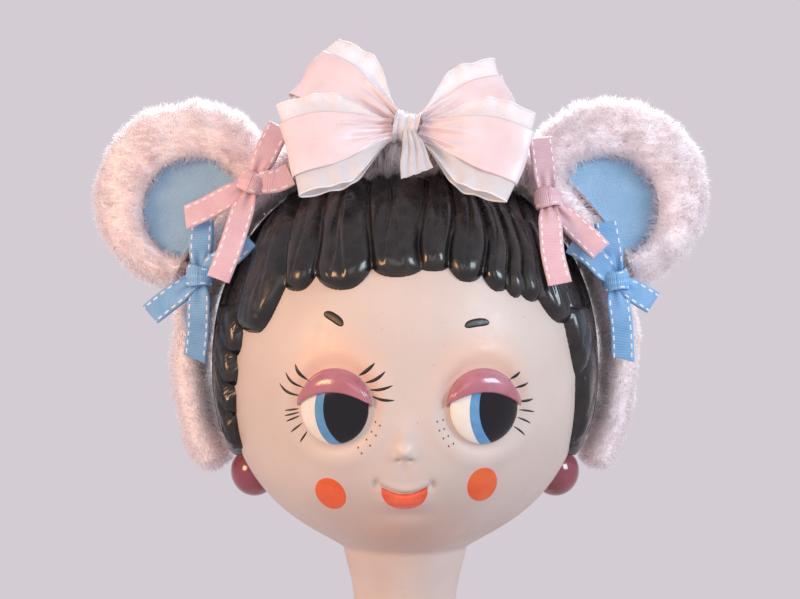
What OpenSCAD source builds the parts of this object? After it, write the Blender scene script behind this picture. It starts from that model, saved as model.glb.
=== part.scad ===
// Retro doll display head on a turning base, wearing a plush ear headband with ribbon bows.
// Millimetres, +Z up. The face looks along -Y and the origin is the middle of the underside.

/* [Head] */
// Half width of the head
head_a = 80.5; // [79:0.5:81]
// Half depth of the head
head_b = 81; // [79:0.5:82]
// Height of the skull above its middle
head_c = 85.5; // [84:0.5:86]
// Depth of the jaw below the middle of the head
jaw_c = 82; // [81:0.5:83]
// Height of the middle of the head
head_z = 168; // [167:0.5:169]
// Wall of the moulded head
head_wall = 3; // [2:0.5:4]
// Radius of the neck at its narrowest
neck_r = 23; // [22:0.5:25]

/* [Hair] */
// Thickness of the moulded hair
hair_t = 5.4; // [4:0.1:5.5]
// Number of locks around the head
hair_locks = 34; // [20:1:40]
// How far the tips of the locks hang below the notches
lock_drop = 3.5; // [1:0.5:5]

/* [Face] */
// Half width of an eye
eye_rx = 14; // [12:0.5:15]
// Half height of an eye
eye_rz = 15; // [13:0.5:16]
// How far an eye domes out of the face
eye_dome = 3.4; // [2:0.2:5]
// Thickness of an eyelid at its lower edge
lid_t = 2; // [1:0.2:3]
// Radius of an earring
earring_r = 11; // [9:0.5:11]

/* [Headband] */
// Width of the plush band, front to back
band_w = 38; // [34:1:40]
// Thickness of the plush band
band_t = 16; // [14:0.5:16]
// Half width of the arch, at the middle of the band
band_a = 96.6; // [96.6:0.2:98]
// Height of the arch above the middle of the head
band_c = 102.2; // [102.2:0.2:104]
// How far each leg comes down, as an angle from the top
band_end = 115; // [105:1:116]
// Radius of a plush ear
ear_r = 41.5; // [36:0.5:42]
// Thickness of a plush ear
ear_t = 26; // [24:1:30]
// Radius of the felt inside an ear
felt_r = 23; // [20:0.5:24]

/* [Ribbons] */
// Width of the satin ribbon
satin_w = 25; // [20:1:26]
// Width of the sheer ribbon behind it
organza_w = 42; // [34:1:42]
// Width of the four stitched ribbons
small_w = 10; // [8:0.5:10]

/* [Base] */
// Radius of the base
base_r = 66; // [64:1:70]
// Radius of the pivot bolt
bolt_r = 4; // [3:0.5:4.5]
// Radial play of the bolt in the base
bolt_play = 0.05; // [0.02:0.01:0.08]

/* [Hidden] */
$fn = 64;

// Head and neck
head_y = -5;                 // middle of the head, front to back
head_power = 2.1;            // 2 is an ellipsoid, more is squarer
jaw_power = 2.2;
neck_power = 3.5;            // how tightly the jaw turns into the neck
neck_z = 62;                 // narrowest height of the neck
neck_swell = 5;              // growth of the neck under the jaw
neck_flare = 12;             // growth of the neck at its foot
rim_z = 26.6;                // foot of the neck
head_sides = 48;
skull_rings = 11;
jaw_rings = 20;
pole_step = 5;               // polar angle of the first ring

// Hair, as angles from the front and heights
hair_gap = 0.6;
fringe_z = 207;              // middle of the fringe
fringe_side_z = 189;         // ends of the fringe
fringe_end = 58;             // angle where the fringe meets the temple
temple_end = 74;             // angle where the temple lock ends
temple_z = 133;
ear_end = 105;               // angle where the hair drops to the nape
nape_z = 113;
hair_sides = 90;
hair_rings = 11;

// Eyes
left_eye_x = -28.6;
right_eye_x = 31.6;
eye_z = 152.7;
lid_z = 6.5;                 // lower edge of the lid over the middle of the eye
lid_sag = 5.5;               // fall of that edge at the corners
lid_margin = 1;              // lid beyond the eye
skin_gap = 0.1;
eye_sides = 24;
eye_rings = [0.2, 0.45, 0.7, 0.88, 1];

// Earrings
earring_x = 68.3;
earring_y = 8;
earring_z = 118.7;
earring_tilt = 33;           // slope of the jaw behind the earring
earring_turn = 11;           // turn of the jaw towards the back
earring_back = 1.4;          // from the middle of the ball to its flat back

// Headband
band_front_y = -18;          // middle of the arch at the top of the head
band_back_y = 18;            // middle of the band at its ends
band_forward = 9;            // the top is moved forward, down and leans onto the forehead
band_dip = 4;
band_lean = 16;
band_fade = 48;              // angle from the top where that ends
sleeve_t = 2.5;
core_w = 20;
core_t = 2;
soft_gap = 0.25;
band_rings = 32;
sleeve_sides = 16;
padding_sides = 12;

// Ears: x, y, z of the middle of each
left_ear_at = [-95.5, -8, 242];
right_ear_at = [91.5, -8, 243];
ear_round = 9;
felt_t = 1.5;
felt_depth = 9;              // depth of the recess
felt_in = 3;                 // recess moved towards the head
felt_down = 6;               // recess moved down
arch_r = 108;              // the ear is cut to sit on the band
ear_skin = 3;

// Ribbons
bow_at = [0.6, -53.5, 268.5];
bow_tilt = 20;               // the bow leans back with the head
wrap_r = 8;
wrap_l = 12;
satin_t = 0.6;
organza_t = 0.4;
grosgrain_t = 0.6;
knot_r = 4.5;
small_loop_half = 3;
// big loops: direction seen from the front, length, layer (1 is in front)
big_loops = [[147, 51, -1], [194, 51, 1], [18, 47, -1], [-18, 52, 1]];
layer_step = 4.1;
loop_half_depth = 3.6;
loop_start = 8.8;
loop_steps = 24;

// Base, from the floor up
pad_t = 1.5;
cover_t = 2;
weight_t = 6;
base_edge = 10;              // height of the upright edge
collar_r = 36;
collar_z = 26;
base_wall = 4;
boss_r = 12;
boss_z = 14.5;
washer_t = 1;
plug_top = 37;
nut_h = 6;
screw_ring = 55;
screw_r = 1.5;
clearance = 0.2;

function ease(t) = let (c = min(max(t, 0), 1)) c*c*(3 - 2*c);
function unit(v) = v/norm(v);
function mixed(a, b, t) = a + (b - a)*t;
function round_pow(v, e) = sign(v)*pow(abs(v), e);

// One closed surface through rings of equal length; a closed one joins its last ring to its first
module skin(rings, closed = false) {
    n = len(rings[0]);
    m = len(rings);
    sides = [for (j = [0:(closed ? m - 1 : m - 2)]) for (i = [0:n - 1])
        let (k = (i + 1)%n, u = ((j + 1)%m)*n, v = j*n) [v + i, v + k, u + k, u + i]];
    caps = closed ? [] : [[for (i = [n - 1:-1:0]) i], [for (i = [0:n - 1]) (m - 1)*n + i]];
    polyhedron([for (r = rings) each r], concat(sides, caps));
}

// Head: a rounded skull that turns smoothly into the neck
function skull(z, off) = let (p = z < head_z ? jaw_power : head_power,
    u = abs(z - head_z)/((z < head_z ? jaw_c : head_c) + off)) u >= 1 ? 0 : pow(1 - pow(u, p), 1/p);
function neck(z, off) = z < neck_z
    ? neck_r + off + neck_flare*pow((neck_z - z)/(neck_z - rim_z), 2)
    : (neck_r + off + neck_swell*ease((z - neck_z)/30))*(1 - ease((z - 85)/25));
function axis_y(z) = head_y*ease((z - 50)/50);
function head_radius(turn, z, off) =
    let (e = skull(z, off)/sqrt(pow(sin(turn)/(head_a + off), 2) + pow(cos(turn)/(head_b + off), 2)))
    pow(pow(e, neck_power) + pow(neck(z, off), neck_power), 1/neck_power);
// turn is measured from the front of the face
function head_point(turn, z, off) = let (r = head_radius(turn, z, off))
    [r*sin(turn), axis_y(z) - r*cos(turn), z];
function skull_z(polar, off) = head_z + (head_c + off)*cos(polar);
function head_levels(off) = concat(
    [for (i = [0:skull_rings]) skull_z(mixed(pole_step, 90, i/skull_rings), off)],
    [for (i = [1:jaw_rings]) mixed(head_z, rim_z, i/jaw_rings)]);
function head_ring(z, off) = [for (i = [0:head_sides - 1]) head_point(360*i/head_sides, z, off)];

module head_shell() {
    outer = head_levels(0);
    inner = head_levels(-head_wall);
    n = len(outer) - 1;
    color("peachpuff") skin(concat(
        [for (z = outer) head_ring(z, 0)],
        [for (i = [n:-1:0]) head_ring(inner[i], -head_wall)]));
}

// Hair: a cap from the crown to a lobed hairline
function hairline(turn) = let (t = abs(turn))
    (t < fringe_end ? mixed(fringe_z, fringe_side_z, pow(t/fringe_end, 2))
    : t < temple_end ? mixed(fringe_side_z, temple_z, (t - fringe_end)/(temple_end - fringe_end))
    : t < ear_end ? temple_z
    : mixed(temple_z, nape_z, ease((t - ear_end)/(150 - ear_end))))
    - lock_drop*(abs(cos(turn*hair_locks/2)) - 0.5);
function hair_ring(part, off) = [for (i = [0:hair_sides - 1])
    let (turn = 360*i/hair_sides - 180,
         last = acos((hairline(turn) - head_z)/(head_c + off)))
    head_point(turn, skull_z(mixed(pole_step, last, part), off), off)];

module hair_cap() {
    color("black") skin(concat(
        [for (i = [0:hair_rings]) hair_ring(i/hair_rings, hair_gap + hair_t)],
        [for (i = [hair_rings:-1:0]) hair_ring(i/hair_rings, hair_gap)]));
}

// A point above the face, h out along the surface normal
function face_point(x, z, h) =
    let (s = skull(z, 0), y = head_y - head_b*sqrt(max(s*s - pow(x/head_a, 2), 0)))
    [x, y, z] + h*unit([x/pow(head_a, 2), (y - head_y)/pow(head_b, 2), (z - head_z)/pow(head_c, 2)]);
function dome(r) = skin_gap + 0.2 + eye_dome*sqrt(max(1 - r*r, 0));
function eye_ring(ex, r, h) = [for (i = [0:eye_sides - 1]) let (t = -360*i/eye_sides)
    face_point(ex + eye_rx*r*cos(t), eye_z + eye_rz*r*sin(t), h)];

module eye(ex) {
    n = len(eye_rings) - 1;
    color("ivory") skin(concat(
        [for (r = eye_rings) eye_ring(ex, r, dome(r))],
        [for (i = [n:-1:0]) eye_ring(ex, eye_rings[i], skin_gap)]));
}
module left_eye() { eye(left_eye_x); }
module right_eye() { eye(right_eye_x); }

function lid_low(u) = lid_z - lid_sag*u*u;
function lid_high(u) = (eye_rz + lid_margin)*sqrt(1 - u*u);
// v runs from the lower edge of the lid to its upper edge
function lid_point(ex, u, v, over) =
    let (x = (eye_rx + lid_margin)*u, z = mixed(lid_low(u), lid_high(u), v),
         r = norm([x/eye_rx, z/eye_rz]))
    face_point(ex + x, eye_z + z, dome(r) + 0.1 + over*mixed(lid_t, 0.5, v*v));
module eyelid(ex) {
    color("rosybrown") skin([for (u = [-0.95:0.1:0.96]) concat(
        [for (v = [0:0.2:1.01]) lid_point(ex, u, v, 1)],
        [for (v = [1:-0.2:-0.01]) lid_point(ex, u, v, 0)])]);
}
module left_eyelid() { eyelid(left_eye_x); }
module right_eyelid() { eyelid(right_eye_x); }

// Earring: a ball with a flat back against the jaw, side is -1 or 1
module earring(side) {
    color("indianred") translate([side*earring_x, earring_y, earring_z])
        rotate([0, 0, side*earring_turn]) rotate([0, side*(90 + earring_tilt), 0])
        rotate_extrude() intersection() {
            circle(r = earring_r);
            translate([0, -earring_back]) square([earring_r, earring_back + earring_r]);
        }
}
module left_earring() { earring(-1); }
module right_earring() { earring(1); }

// Headband: t is the angle from the top of the arch
function band_top(t) = 1 - ease(abs(t)/band_fade);
function band_at(t) = [band_a*sin(t),
    mixed(band_front_y, band_back_y, (1 - cos(t))/(1 - cos(band_end))) - band_forward*band_top(t),
    head_z + band_c*cos(t) - band_dip*band_top(t)];
// x across the band towards the back, y out of the head
function band_point(t, x, y) = let (out = unit([sin(t)/band_a, 0, cos(t)/band_c]), lean = band_lean*band_top(t))
    band_at(t) + x*(cos(lean)*[0, 1, 0] + sin(lean)*out) + y*(cos(lean)*out - sin(lean)*[0, 1, 0]);
function band_section(t, w, h, n) = [for (i = [0:n - 1]) let (a = 360*i/n)
    band_point(t, w/2*round_pow(cos(a), 0.7), h/2*round_pow(sin(a), 0.7))];
// A hollow sleeve: outside w by h, inside iw by ih
module band_tube(w, h, iw, ih, n) {
    skin(concat(
        [for (i = [0:band_rings]) band_section(mixed(-band_end, band_end, i/band_rings), w, h, n)],
        [for (i = [band_rings:-1:0]) band_section(mixed(-band_end, band_end, i/band_rings), iw, ih, n)]),
        closed = true);
}
pad_w = band_w - 2*sleeve_t;
pad_h = band_t - 2*sleeve_t;
module band_sleeve() { color("mistyrose") band_tube(band_w, band_t, pad_w, pad_h, sleeve_sides); }
module band_padding() {
    color("white") band_tube(pad_w - 2*soft_gap, pad_h - 2*soft_gap,
        core_w + 4, core_t + 2, padding_sides);
}
module band_core() {
    color("gainsboro") skin([for (i = [0:band_rings]) let (t = mixed(-band_end, band_end, i/band_rings))
        [for (c = [[-1, -1], [1, -1], [1, 1], [-1, 1]])
            band_point(t, -c[0]*core_w/2, c[1]*core_t/2)]]);
}

// A flat round with a rounded rim, standing on edge and centred on the origin
module round_slab(r, t, edge) {
    rotate([90, 0, 0]) rotate_extrude() union() {
        translate([0, -t/2]) square([r - edge, t]);
        intersection() {
            translate([r - edge, 0]) scale(t/2/edge) circle(r = edge);
            translate([0, -t/2]) square([r, t]);
        }
    }
}
module recess_at(side) { translate([-side*felt_in, 0, -felt_down]) rotate([90, 0, 0]) children(); }
module arch_cut(at, extra) {
    translate([-at[0], 0, head_z - at[2]]) rotate([90, 0, 0])
        cylinder(r = arch_r + extra, h = 4*ear_t, center = true, $fn = 96);
}
// Soft filling behind the recess
module filling_shape(at, grow) {
    difference() {
        translate([0, (ear_t - felt_depth)/2 - 4.5 + grow/2, 0]) rotate([90, 0, 0])
            cylinder(r = ear_r - ear_skin - 2 + grow, h = 10 + 2*grow, center = true);
        arch_cut(at, ear_skin - grow);
    }
}
module ear_plush(at, side) {
    color("mistyrose") translate(at) difference() {
        round_slab(ear_r, ear_t, ear_round);
        recess_at(side) translate([0, 0, ear_t/2 - felt_depth]) cylinder(r = felt_r + 1, h = ear_t);
        arch_cut(at, 0);
        filling_shape(at, soft_gap);
    }
}
module ear_filling(at) { color("white") translate(at) filling_shape(at, 0); }
module ear_felt(at, side) {
    color("cornflowerblue") translate(at) difference() {
        recess_at(side) translate([0, 0, ear_t/2 - felt_depth]) cylinder(r = felt_r, h = felt_t);
        arch_cut(at, 1);
    }
}
module left_ear_plush() { ear_plush(left_ear_at, -1); }
module right_ear_plush() { ear_plush(right_ear_at, 1); }
module left_ear_filling() { ear_filling(left_ear_at); }
module right_ear_filling() { ear_filling(right_ear_at); }
module left_ear_felt() { ear_felt(left_ear_at, -1); }
module right_ear_felt() { ear_felt(right_ear_at, 1); }

// Ribbon section: half width hw along w, half thickness ht along n
function ribbon_section(p, w, n, hw, ht) =
    [p - hw*w - ht*n, p + hw*w - ht*n, p + hw*w + ht*n, p - hw*w + ht*n];
// A loop of ribbon from a point, length l along d, width along w, opening along n
module ribbon_loop(p, d, n, l, start, depth, width, pinch, t) {
    w = cross(n, d);
    skin([for (i = [0:loop_steps - 1]) let (a = 360*i/loop_steps,
            r = mixed(start, l, (1 - cos(a))/2), out = unit(-cos(a)*depth*d + sin(a)*(l - start)/2*n),
            hw = mixed(pinch, width, ease((r - start)/(l/2)))/2)
        ribbon_section(p + r*d + depth*sin(a)*n, w, out, hw, t/2)], closed = true);
}
// The big bow is drawn facing -Y and then leans back
module big_bow(width, t, inset) {
    translate(bow_at) rotate([-bow_tilt, 0, 0]) for (l = big_loops)
        ribbon_loop([0, -l[2]*layer_step, 0], [cos(l[0]), 0, sin(l[0])], [0, 1, 0],
            l[1] - inset, loop_start + inset, loop_half_depth - inset, width, 8, t);
}
module satin_bow() { color("pink") big_bow(satin_w, satin_t, 0); }
module organza_bow() { color("whitesmoke") big_bow(organza_w, organza_t, 1); }
module bow_wrap() {
    color("lavenderblush") translate(bow_at) rotate([-bow_tilt, 0, 0]) {
        rotate([0, 90, 0]) cylinder(r = wrap_r - 2, h = wrap_l, center = true);
        rotate([0, 90, 0]) cylinder(r = wrap_r, h = wrap_l - 4, center = true);
        translate([-1, -wrap_r + 0.2, -26]) cube([6, organza_t, 30]);
    }
}

// Turns the X axis to direction d and keeps Y as far to the back as it can
module along(d) {
    rotate([0, -atan2(d[2], d[0]), 0]) rotate([0, 0, asin(d[1])]) children();
}
module loop_outline(l, half) {
    polygon([for (a = [0:15:345]) [l*(1 - cos(a))/2, half*sin(a)]]);
}
// A small bow: knot, tips of its loops and ends of its tails
module small_bow(knot, loops, tails) {
    translate(knot) {
        sphere(r = knot_r);
        for (tip = loops) let (l = norm(tip - knot)) along(unit(tip - knot)) translate([1, 0, 0])
            linear_extrude(small_w, center = true) difference() {
                loop_outline(l, small_loop_half);
                translate([2*grosgrain_t, 0]) loop_outline(l - 3*grosgrain_t, small_loop_half - grosgrain_t);
            }
        for (end = tails) along(unit(end - knot)) translate([knot_r - 2, -grosgrain_t/2, -small_w/2])
            cube([norm(end - knot) - knot_r + 2, grosgrain_t, small_w]);
    }
}
module left_pink_bow() {
    color("lightpink")
        small_bow([-66, -38, 246], [[-54, -36, 271]], [[-49, -41, 250], [-96, -36, 231], [-79, -50, 205]]);
}
module right_pink_bow() {
    color("lightpink") small_bow([61, -41, 239], [[58, -36, 266], [83, -45, 217]], [[64, -64, 203]]);
}
module left_blue_bow() {
    color("steelblue")
        small_bow([-89, -30, 207], [[-88, -29, 231], [-111, -25, 190]], [[-67, -41.5, 223], [-92, -24, 169]]);
}
module right_blue_bow() {
    color("steelblue")
        small_bow([91, -30, 205], [[87, -29, 230], [108, -25, 195]], [[71, -40, 221], [95, -24, 169]]);
}

// Base, from the floor up
cavity_r = base_r - 6;
weight_z = pad_t + cover_t;
cavity_z = weight_z + weight_t + 0.1;
module screw_places() { for (a = [90, 210, 330]) rotate(a) translate([screw_ring, 0, 0]) children(); }
module base_plinth() {
    color("mediumpurple") difference() {
        union() {
            difference() {
                rotate_extrude($fn = 96) difference() {
                    translate([0, pad_t]) square([base_r, collar_z - pad_t]);
                    translate([base_r, collar_z]) circle(r = collar_z - base_edge);
                    translate([collar_r, collar_z - 3]) square([base_r, 4]);
                }
                translate([0, 0, pad_t - 1]) cylinder(r = cavity_r, h = cavity_z - pad_t + 1);
            }
            screw_places() translate([0, 0, weight_z]) cylinder(r = 4, h = 8);
        }
        translate([0, 0, pad_t]) cylinder(r = boss_r, h = boss_z - pad_t);
        cylinder(r = bolt_r + bolt_play, h = 2*collar_z);
        screw_places() cylinder(r = screw_r, h = 10);
    }
}
module base_weight() {
    color("dimgray") translate([0, 0, weight_z]) difference() {
        cylinder(r = screw_ring - 5, h = weight_t);
        translate([0, 0, -1]) cylinder(r = 18, h = weight_t + 2);
    }
}
module base_cover() {
    color("gray") translate([0, 0, pad_t]) difference() {
        cylinder(r = cavity_r - clearance, h = cover_t);
        screw_places() translate([0, 0, -1]) cylinder(r = screw_r + clearance, h = cover_t + 2);
        screw_places() translate([0, 0, -0.01]) cylinder(r1 = 3.2, r2 = screw_r + clearance, h = 1.6);
    }
}
module cover_screws() {
    color("silver") screw_places() translate([0, 0, pad_t + 0.05]) {
        cylinder(r1 = 3, r2 = screw_r, h = 1.5);
        cylinder(r = screw_r, h = 7.5);
    }
}
module felt_pad() { color("slategray") cylinder(r = base_r - 4, h = pad_t); }
module thrust_washer() {
    color("white") translate([0, 0, collar_z]) difference() {
        cylinder(r = 20, h = washer_t);
        translate([0, 0, -1]) cylinder(r = bolt_r + 1, h = washer_t + 2);
    }
}
plug_z = collar_z + washer_t + bolt_play;
module neck_plug() {
    color("wheat") translate([0, 0, plug_z]) difference() {
        union() {
            cylinder(r = 30, h = 2);
            cylinder(r = 25.5, h = plug_top - plug_z);
        }
        translate([0, 0, -1]) cylinder(r = bolt_r + 0.02, h = plug_top);
    }
}
module pivot_bolt() {
    color("silver") {
        translate([0, 0, boss_z - 6]) cylinder(r = 7, h = 4.5, $fn = 6);
        translate([0, 0, boss_z - 2]) cylinder(r = bolt_r, h = plug_top + nut_h + 3 - boss_z);
    }
}
module spring_washer() {
    color("silver") translate([0, 0, boss_z - 1.45]) difference() {
        cylinder(r = 7, h = 1.4);
        translate([0, 0, -1]) cylinder(r = bolt_r + 0.3, h = 4);
    }
}
module pivot_nut() {
    color("silver") translate([0, 0, plug_top + 0.05]) difference() {
        cylinder(r = 8, h = nut_h, $fn = 6);
        translate([0, 0, -1]) cylinder(r = bolt_r + 0.02, h = nut_h + 2);
    }
}

base_plinth();
base_weight();
base_cover();
cover_screws();
felt_pad();
thrust_washer();
pivot_bolt();
spring_washer();
pivot_nut();
neck_plug();
head_shell();
hair_cap();
left_eye();
right_eye();
left_eyelid();
right_eyelid();
left_earring();
right_earring();
band_core();
band_padding();
band_sleeve();
left_ear_plush();
right_ear_plush();
left_ear_filling();
right_ear_filling();
left_ear_felt();
right_ear_felt();
satin_bow();
organza_bow();
bow_wrap();
left_pink_bow();
right_pink_bow();
left_blue_bow();
right_blue_bow();
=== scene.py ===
"""Looks of the display head toy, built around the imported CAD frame. Points are worked out in millimetres."""
import math

import bpy
import numpy as np
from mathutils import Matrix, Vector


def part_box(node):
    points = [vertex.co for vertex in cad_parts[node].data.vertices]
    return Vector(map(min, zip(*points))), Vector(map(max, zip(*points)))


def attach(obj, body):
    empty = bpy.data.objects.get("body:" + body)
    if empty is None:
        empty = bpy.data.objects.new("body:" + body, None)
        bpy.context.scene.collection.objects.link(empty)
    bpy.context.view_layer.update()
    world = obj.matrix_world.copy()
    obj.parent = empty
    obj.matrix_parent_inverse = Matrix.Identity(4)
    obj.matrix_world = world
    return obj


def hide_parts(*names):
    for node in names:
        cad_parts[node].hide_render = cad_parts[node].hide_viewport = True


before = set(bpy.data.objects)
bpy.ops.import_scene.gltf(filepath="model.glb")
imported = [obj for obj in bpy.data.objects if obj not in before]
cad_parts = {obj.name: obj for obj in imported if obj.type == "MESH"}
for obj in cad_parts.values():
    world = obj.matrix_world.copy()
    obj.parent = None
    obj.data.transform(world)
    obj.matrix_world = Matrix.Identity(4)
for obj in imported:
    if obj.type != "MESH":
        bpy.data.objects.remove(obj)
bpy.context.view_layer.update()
MM = 0.001
RNG_SEED = 7


# ---------------------------------------------------------------- meshes

def mesh_piece(name, points, faces, body, slot, materials, replaces=(), smooth=True, index=None):
    """Makes one object from points in millimetres and rows of 3 or 4 vertex numbers."""
    mesh = bpy.data.meshes.new(name)
    faces = [np.asarray(f, dtype=np.int32) for f in (faces if isinstance(faces, list) else [faces])]
    loops = np.concatenate([f.ravel() for f in faces])
    counts = np.concatenate([np.full(len(f), f.shape[1], dtype=np.int32) for f in faces])
    mesh.vertices.add(len(points))
    mesh.vertices.foreach_set("co", (np.asarray(points, dtype=np.float64)*MM).ravel())
    mesh.loops.add(len(loops))
    mesh.loops.foreach_set("vertex_index", loops)
    mesh.polygons.add(len(counts))
    mesh.polygons.foreach_set("loop_start", np.concatenate([[0], np.cumsum(counts)[:-1]]).astype(np.int32))
    mesh.polygons.foreach_set("use_smooth", np.full(len(counts), smooth))
    for m in materials if isinstance(materials, (list, tuple)) else [materials]:
        mesh.materials.append(m)
    if index is not None:
        mesh.polygons.foreach_set("material_index", np.asarray(index, dtype=np.int32))
    mesh.update(calc_edges=True)
    mesh.validate()
    piece = bpy.data.objects.new(name, mesh)
    bpy.context.scene.collection.objects.link(piece)
    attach(piece, body)
    if replaces:
        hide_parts(*replaces)
    return piece


def grid_faces(rows, cols, wrap=False, flip=False, first=0):
    """Quads of a grid of points stored row by row; wrap joins the last column to the first."""
    last = cols if wrap else cols - 1
    r, c = np.meshgrid(np.arange(rows - 1), np.arange(last), indexing="ij")
    a = r*cols + c
    b = r*cols + (c + 1) % cols
    quads = np.stack([a, b, b + cols, a + cols], axis=-1).reshape(-1, 4) + first
    return quads[:, ::-1] if flip else quads


def fan_faces(ring, centre, flip=False):
    """Triangles from a ring of vertex numbers to one centre."""
    ring = np.asarray(ring)
    tris = np.stack([ring, np.full_like(ring, centre), np.roll(ring, -1)], axis=-1)
    return tris[:, ::-1] if flip else tris


def close_rings(grid, flip, ends=None):
    """A closed surface from rings of points. Each end has a point of its own, by default in its middle."""
    n, sides = grid.shape[:2]
    if ends is None:
        ends = np.stack([grid[0].mean(axis=0), grid[-1].mean(axis=0)])
    points = np.concatenate([grid.reshape(-1, 3), ends])
    return points, [grid_faces(n, sides, wrap=True, flip=flip),
                    fan_faces(np.arange(sides), n*sides, flip=flip),
                    fan_faces((n - 1)*sides + np.arange(sides), n*sides + 1, flip=not flip)]


def ease(t):
    t = np.clip(t, 0.0, 1.0)
    return t*t*(3 - 2*t)


def mixed(a, b, t):
    return a + (b - a)*t


def unit(v):
    return v/np.maximum(np.linalg.norm(v, axis=-1, keepdims=True), 1e-9)


def hill(x, z, x0, z0, sx, sz):
    """A smooth round hill of height 1."""
    return np.exp(-((x - x0)/sx)**2 - ((z - z0)/sz)**2)


# ---------------------------------------------------------------- materials

def new_material(name, color, rough, **sockets):
    """A Principled material. Numbers and colours that are the same all over are set on its sockets."""
    m = bpy.data.materials.new(name)
    m.use_nodes = True
    shader = m.node_tree.nodes["Principled BSDF"]
    shader.inputs["Base Color"].default_value = (*color, 1.0)
    shader.inputs["Roughness"].default_value = rough
    for key, value in sockets.items():
        shader.inputs[key.replace("_", " ")].default_value = value
    return m


def add_node(m, kind, inputs=None, **settings):
    node = m.node_tree.nodes.new(kind)
    for key, value in settings.items():
        setattr(node, key, value)
    for key, value in (inputs or {}).items():
        if isinstance(value, bpy.types.NodeSocket):
            m.node_tree.links.new(value, node.inputs[key])
        else:
            node.inputs[key].default_value = value
    return node


def place(m):
    """Position on the object in millimetres, the same at every pose."""
    coord = add_node(m, "ShaderNodeTexCoord")
    return add_node(m, "ShaderNodeVectorMath", {0: coord.outputs["Object"], 1: (1/MM,)*3},
                    operation="MULTIPLY").outputs[0]


def noise(m, where, size, detail=3.0, stretch=(1, 1, 1)):
    """Noise whose features are about size millimetres."""
    scale = tuple(s/size for s in stretch)
    at = add_node(m, "ShaderNodeVectorMath", {0: where, 1: scale}, operation="MULTIPLY").outputs[0]
    return add_node(m, "ShaderNodeTexNoise", {"Vector": at, "Scale": 1.0, "Detail": detail}).outputs[0]


def ramp(m, value, low, high, out_low=0.0, out_high=1.0):
    return add_node(m, "ShaderNodeMapRange", {"Value": value, "From Min": low, "From Max": high,
                                              "To Min": out_low, "To Max": out_high}).outputs[0]


def blend_colors(m, factor, a, b):
    node = add_node(m, "ShaderNodeMix", data_type="RGBA")
    for key, value in ((0, factor), (6, a), (7, b)):
        if isinstance(value, bpy.types.NodeSocket):
            m.node_tree.links.new(value, node.inputs[key])
        elif key == 0:
            node.inputs[0].default_value = value
        else:
            node.inputs[key].default_value = (*value, 1.0)
    return node.outputs[2]


def connect(m, socket, output):
    m.node_tree.links.new(output, m.node_tree.nodes["Principled BSDF"].inputs[socket])


def patchy(m, where, size, detail=3.0, low=0.3, high=0.7, to=(0.0, 1.0)):
    """Soft patches about size millimetres across, between the two values in to."""
    return ramp(m, noise(m, where, size, detail), low, high, *to)


def times(m, value, share):
    return add_node(m, "ShaderNodeMath", {0: value, 1: share}, operation="MULTIPLY").outputs[0]


def tint(m, factor, a, b):
    """Base colour that runs from a to b as factor runs from 0 to 1."""
    connect(m, "Base Color", blend_colors(m, factor, a, b))


def bump(m, height, distance, strength=1.0):
    """Raises the surface by height, in millimetres."""
    node = add_node(m, "ShaderNodeBump", {"Height": height, "Distance": distance*MM, "Strength": strength})
    connect(m, "Normal", node.outputs[0])


def near(m, where, centre, reach, edge):
    """1 within reach millimetres of a point, falling to 0 over edge."""
    d = add_node(m, "ShaderNodeVectorMath", {0: where, 1: centre}, operation="DISTANCE").outputs["Value"]
    return ramp(m, d, reach, reach + edge, 1.0, 0.0)


# ---------------------------------------------------------------- head surface

HEAD_A, HEAD_B, HEAD_C, JAW_C = 80.5, 81.0, 85.5, 82.0
HEAD_Y, HEAD_Z = -5.0, 168.0
HEAD_POWER, JAW_POWER, NECK_POWER = 2.1, 2.2, 3.5
NECK_R, NECK_Z, RIM_Z = 23.0, 62.0, 26.6
NECK_SWELL, NECK_FLARE = 5.0, 12.0
WALL = 3.0
EYES = {"left": -28.6, "right": 31.6}
EYE_Z, EYE_RX, EYE_RZ, EYE_DOME = 152.7, 14.0, 15.0, 3.4
IRIS_SHIFT, IRIS_R = 9.2, 16.0
PUPIL_SHIFT, PUPIL_R = 9.8, 13.4
MOUTH_Z, MOUTH_HALF, SMILE = 118.2, 10.2, 2.9


def skull(z, off=0.0):
    low = z < HEAD_Z
    u = np.clip(np.abs(z - HEAD_Z)/(np.where(low, JAW_C, HEAD_C) + off), 0, 1)
    power = np.where(low, JAW_POWER, HEAD_POWER)
    return (1 - u**power)**(1/power)


def neck(z, off=0.0):
    low = NECK_R + off + NECK_FLARE*((NECK_Z - z)/(NECK_Z - RIM_Z))**2
    high = (NECK_R + off + NECK_SWELL*ease((z - NECK_Z)/30))*(1 - ease((z - 85)/25))
    return np.where(z < NECK_Z, low, high)


def head_point(turn, z, off=0.0):
    """A point of the head, turn in radians from the front of the face."""
    e = skull(z, off)/np.sqrt((np.sin(turn)/(HEAD_A + off))**2 + (np.cos(turn)/(HEAD_B + off))**2)
    r = (e**NECK_POWER + np.maximum(neck(z, off), 0)**NECK_POWER)**(1/NECK_POWER)
    return np.stack([r*np.sin(turn), HEAD_Y*ease((z - 50)/50) - r*np.cos(turn), z + 0*r], axis=-1)


def head_normal(p):
    n = np.stack([p[..., 0]/HEAD_A**2, (p[..., 1] - HEAD_Y)/HEAD_B**2,
                  np.maximum(p[..., 2] - HEAD_Z, -62)/HEAD_C**2], axis=-1)
    return unit(n)


def mouth_line(x):
    return MOUTH_Z + SMILE*(x/MOUTH_HALF)**2


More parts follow.
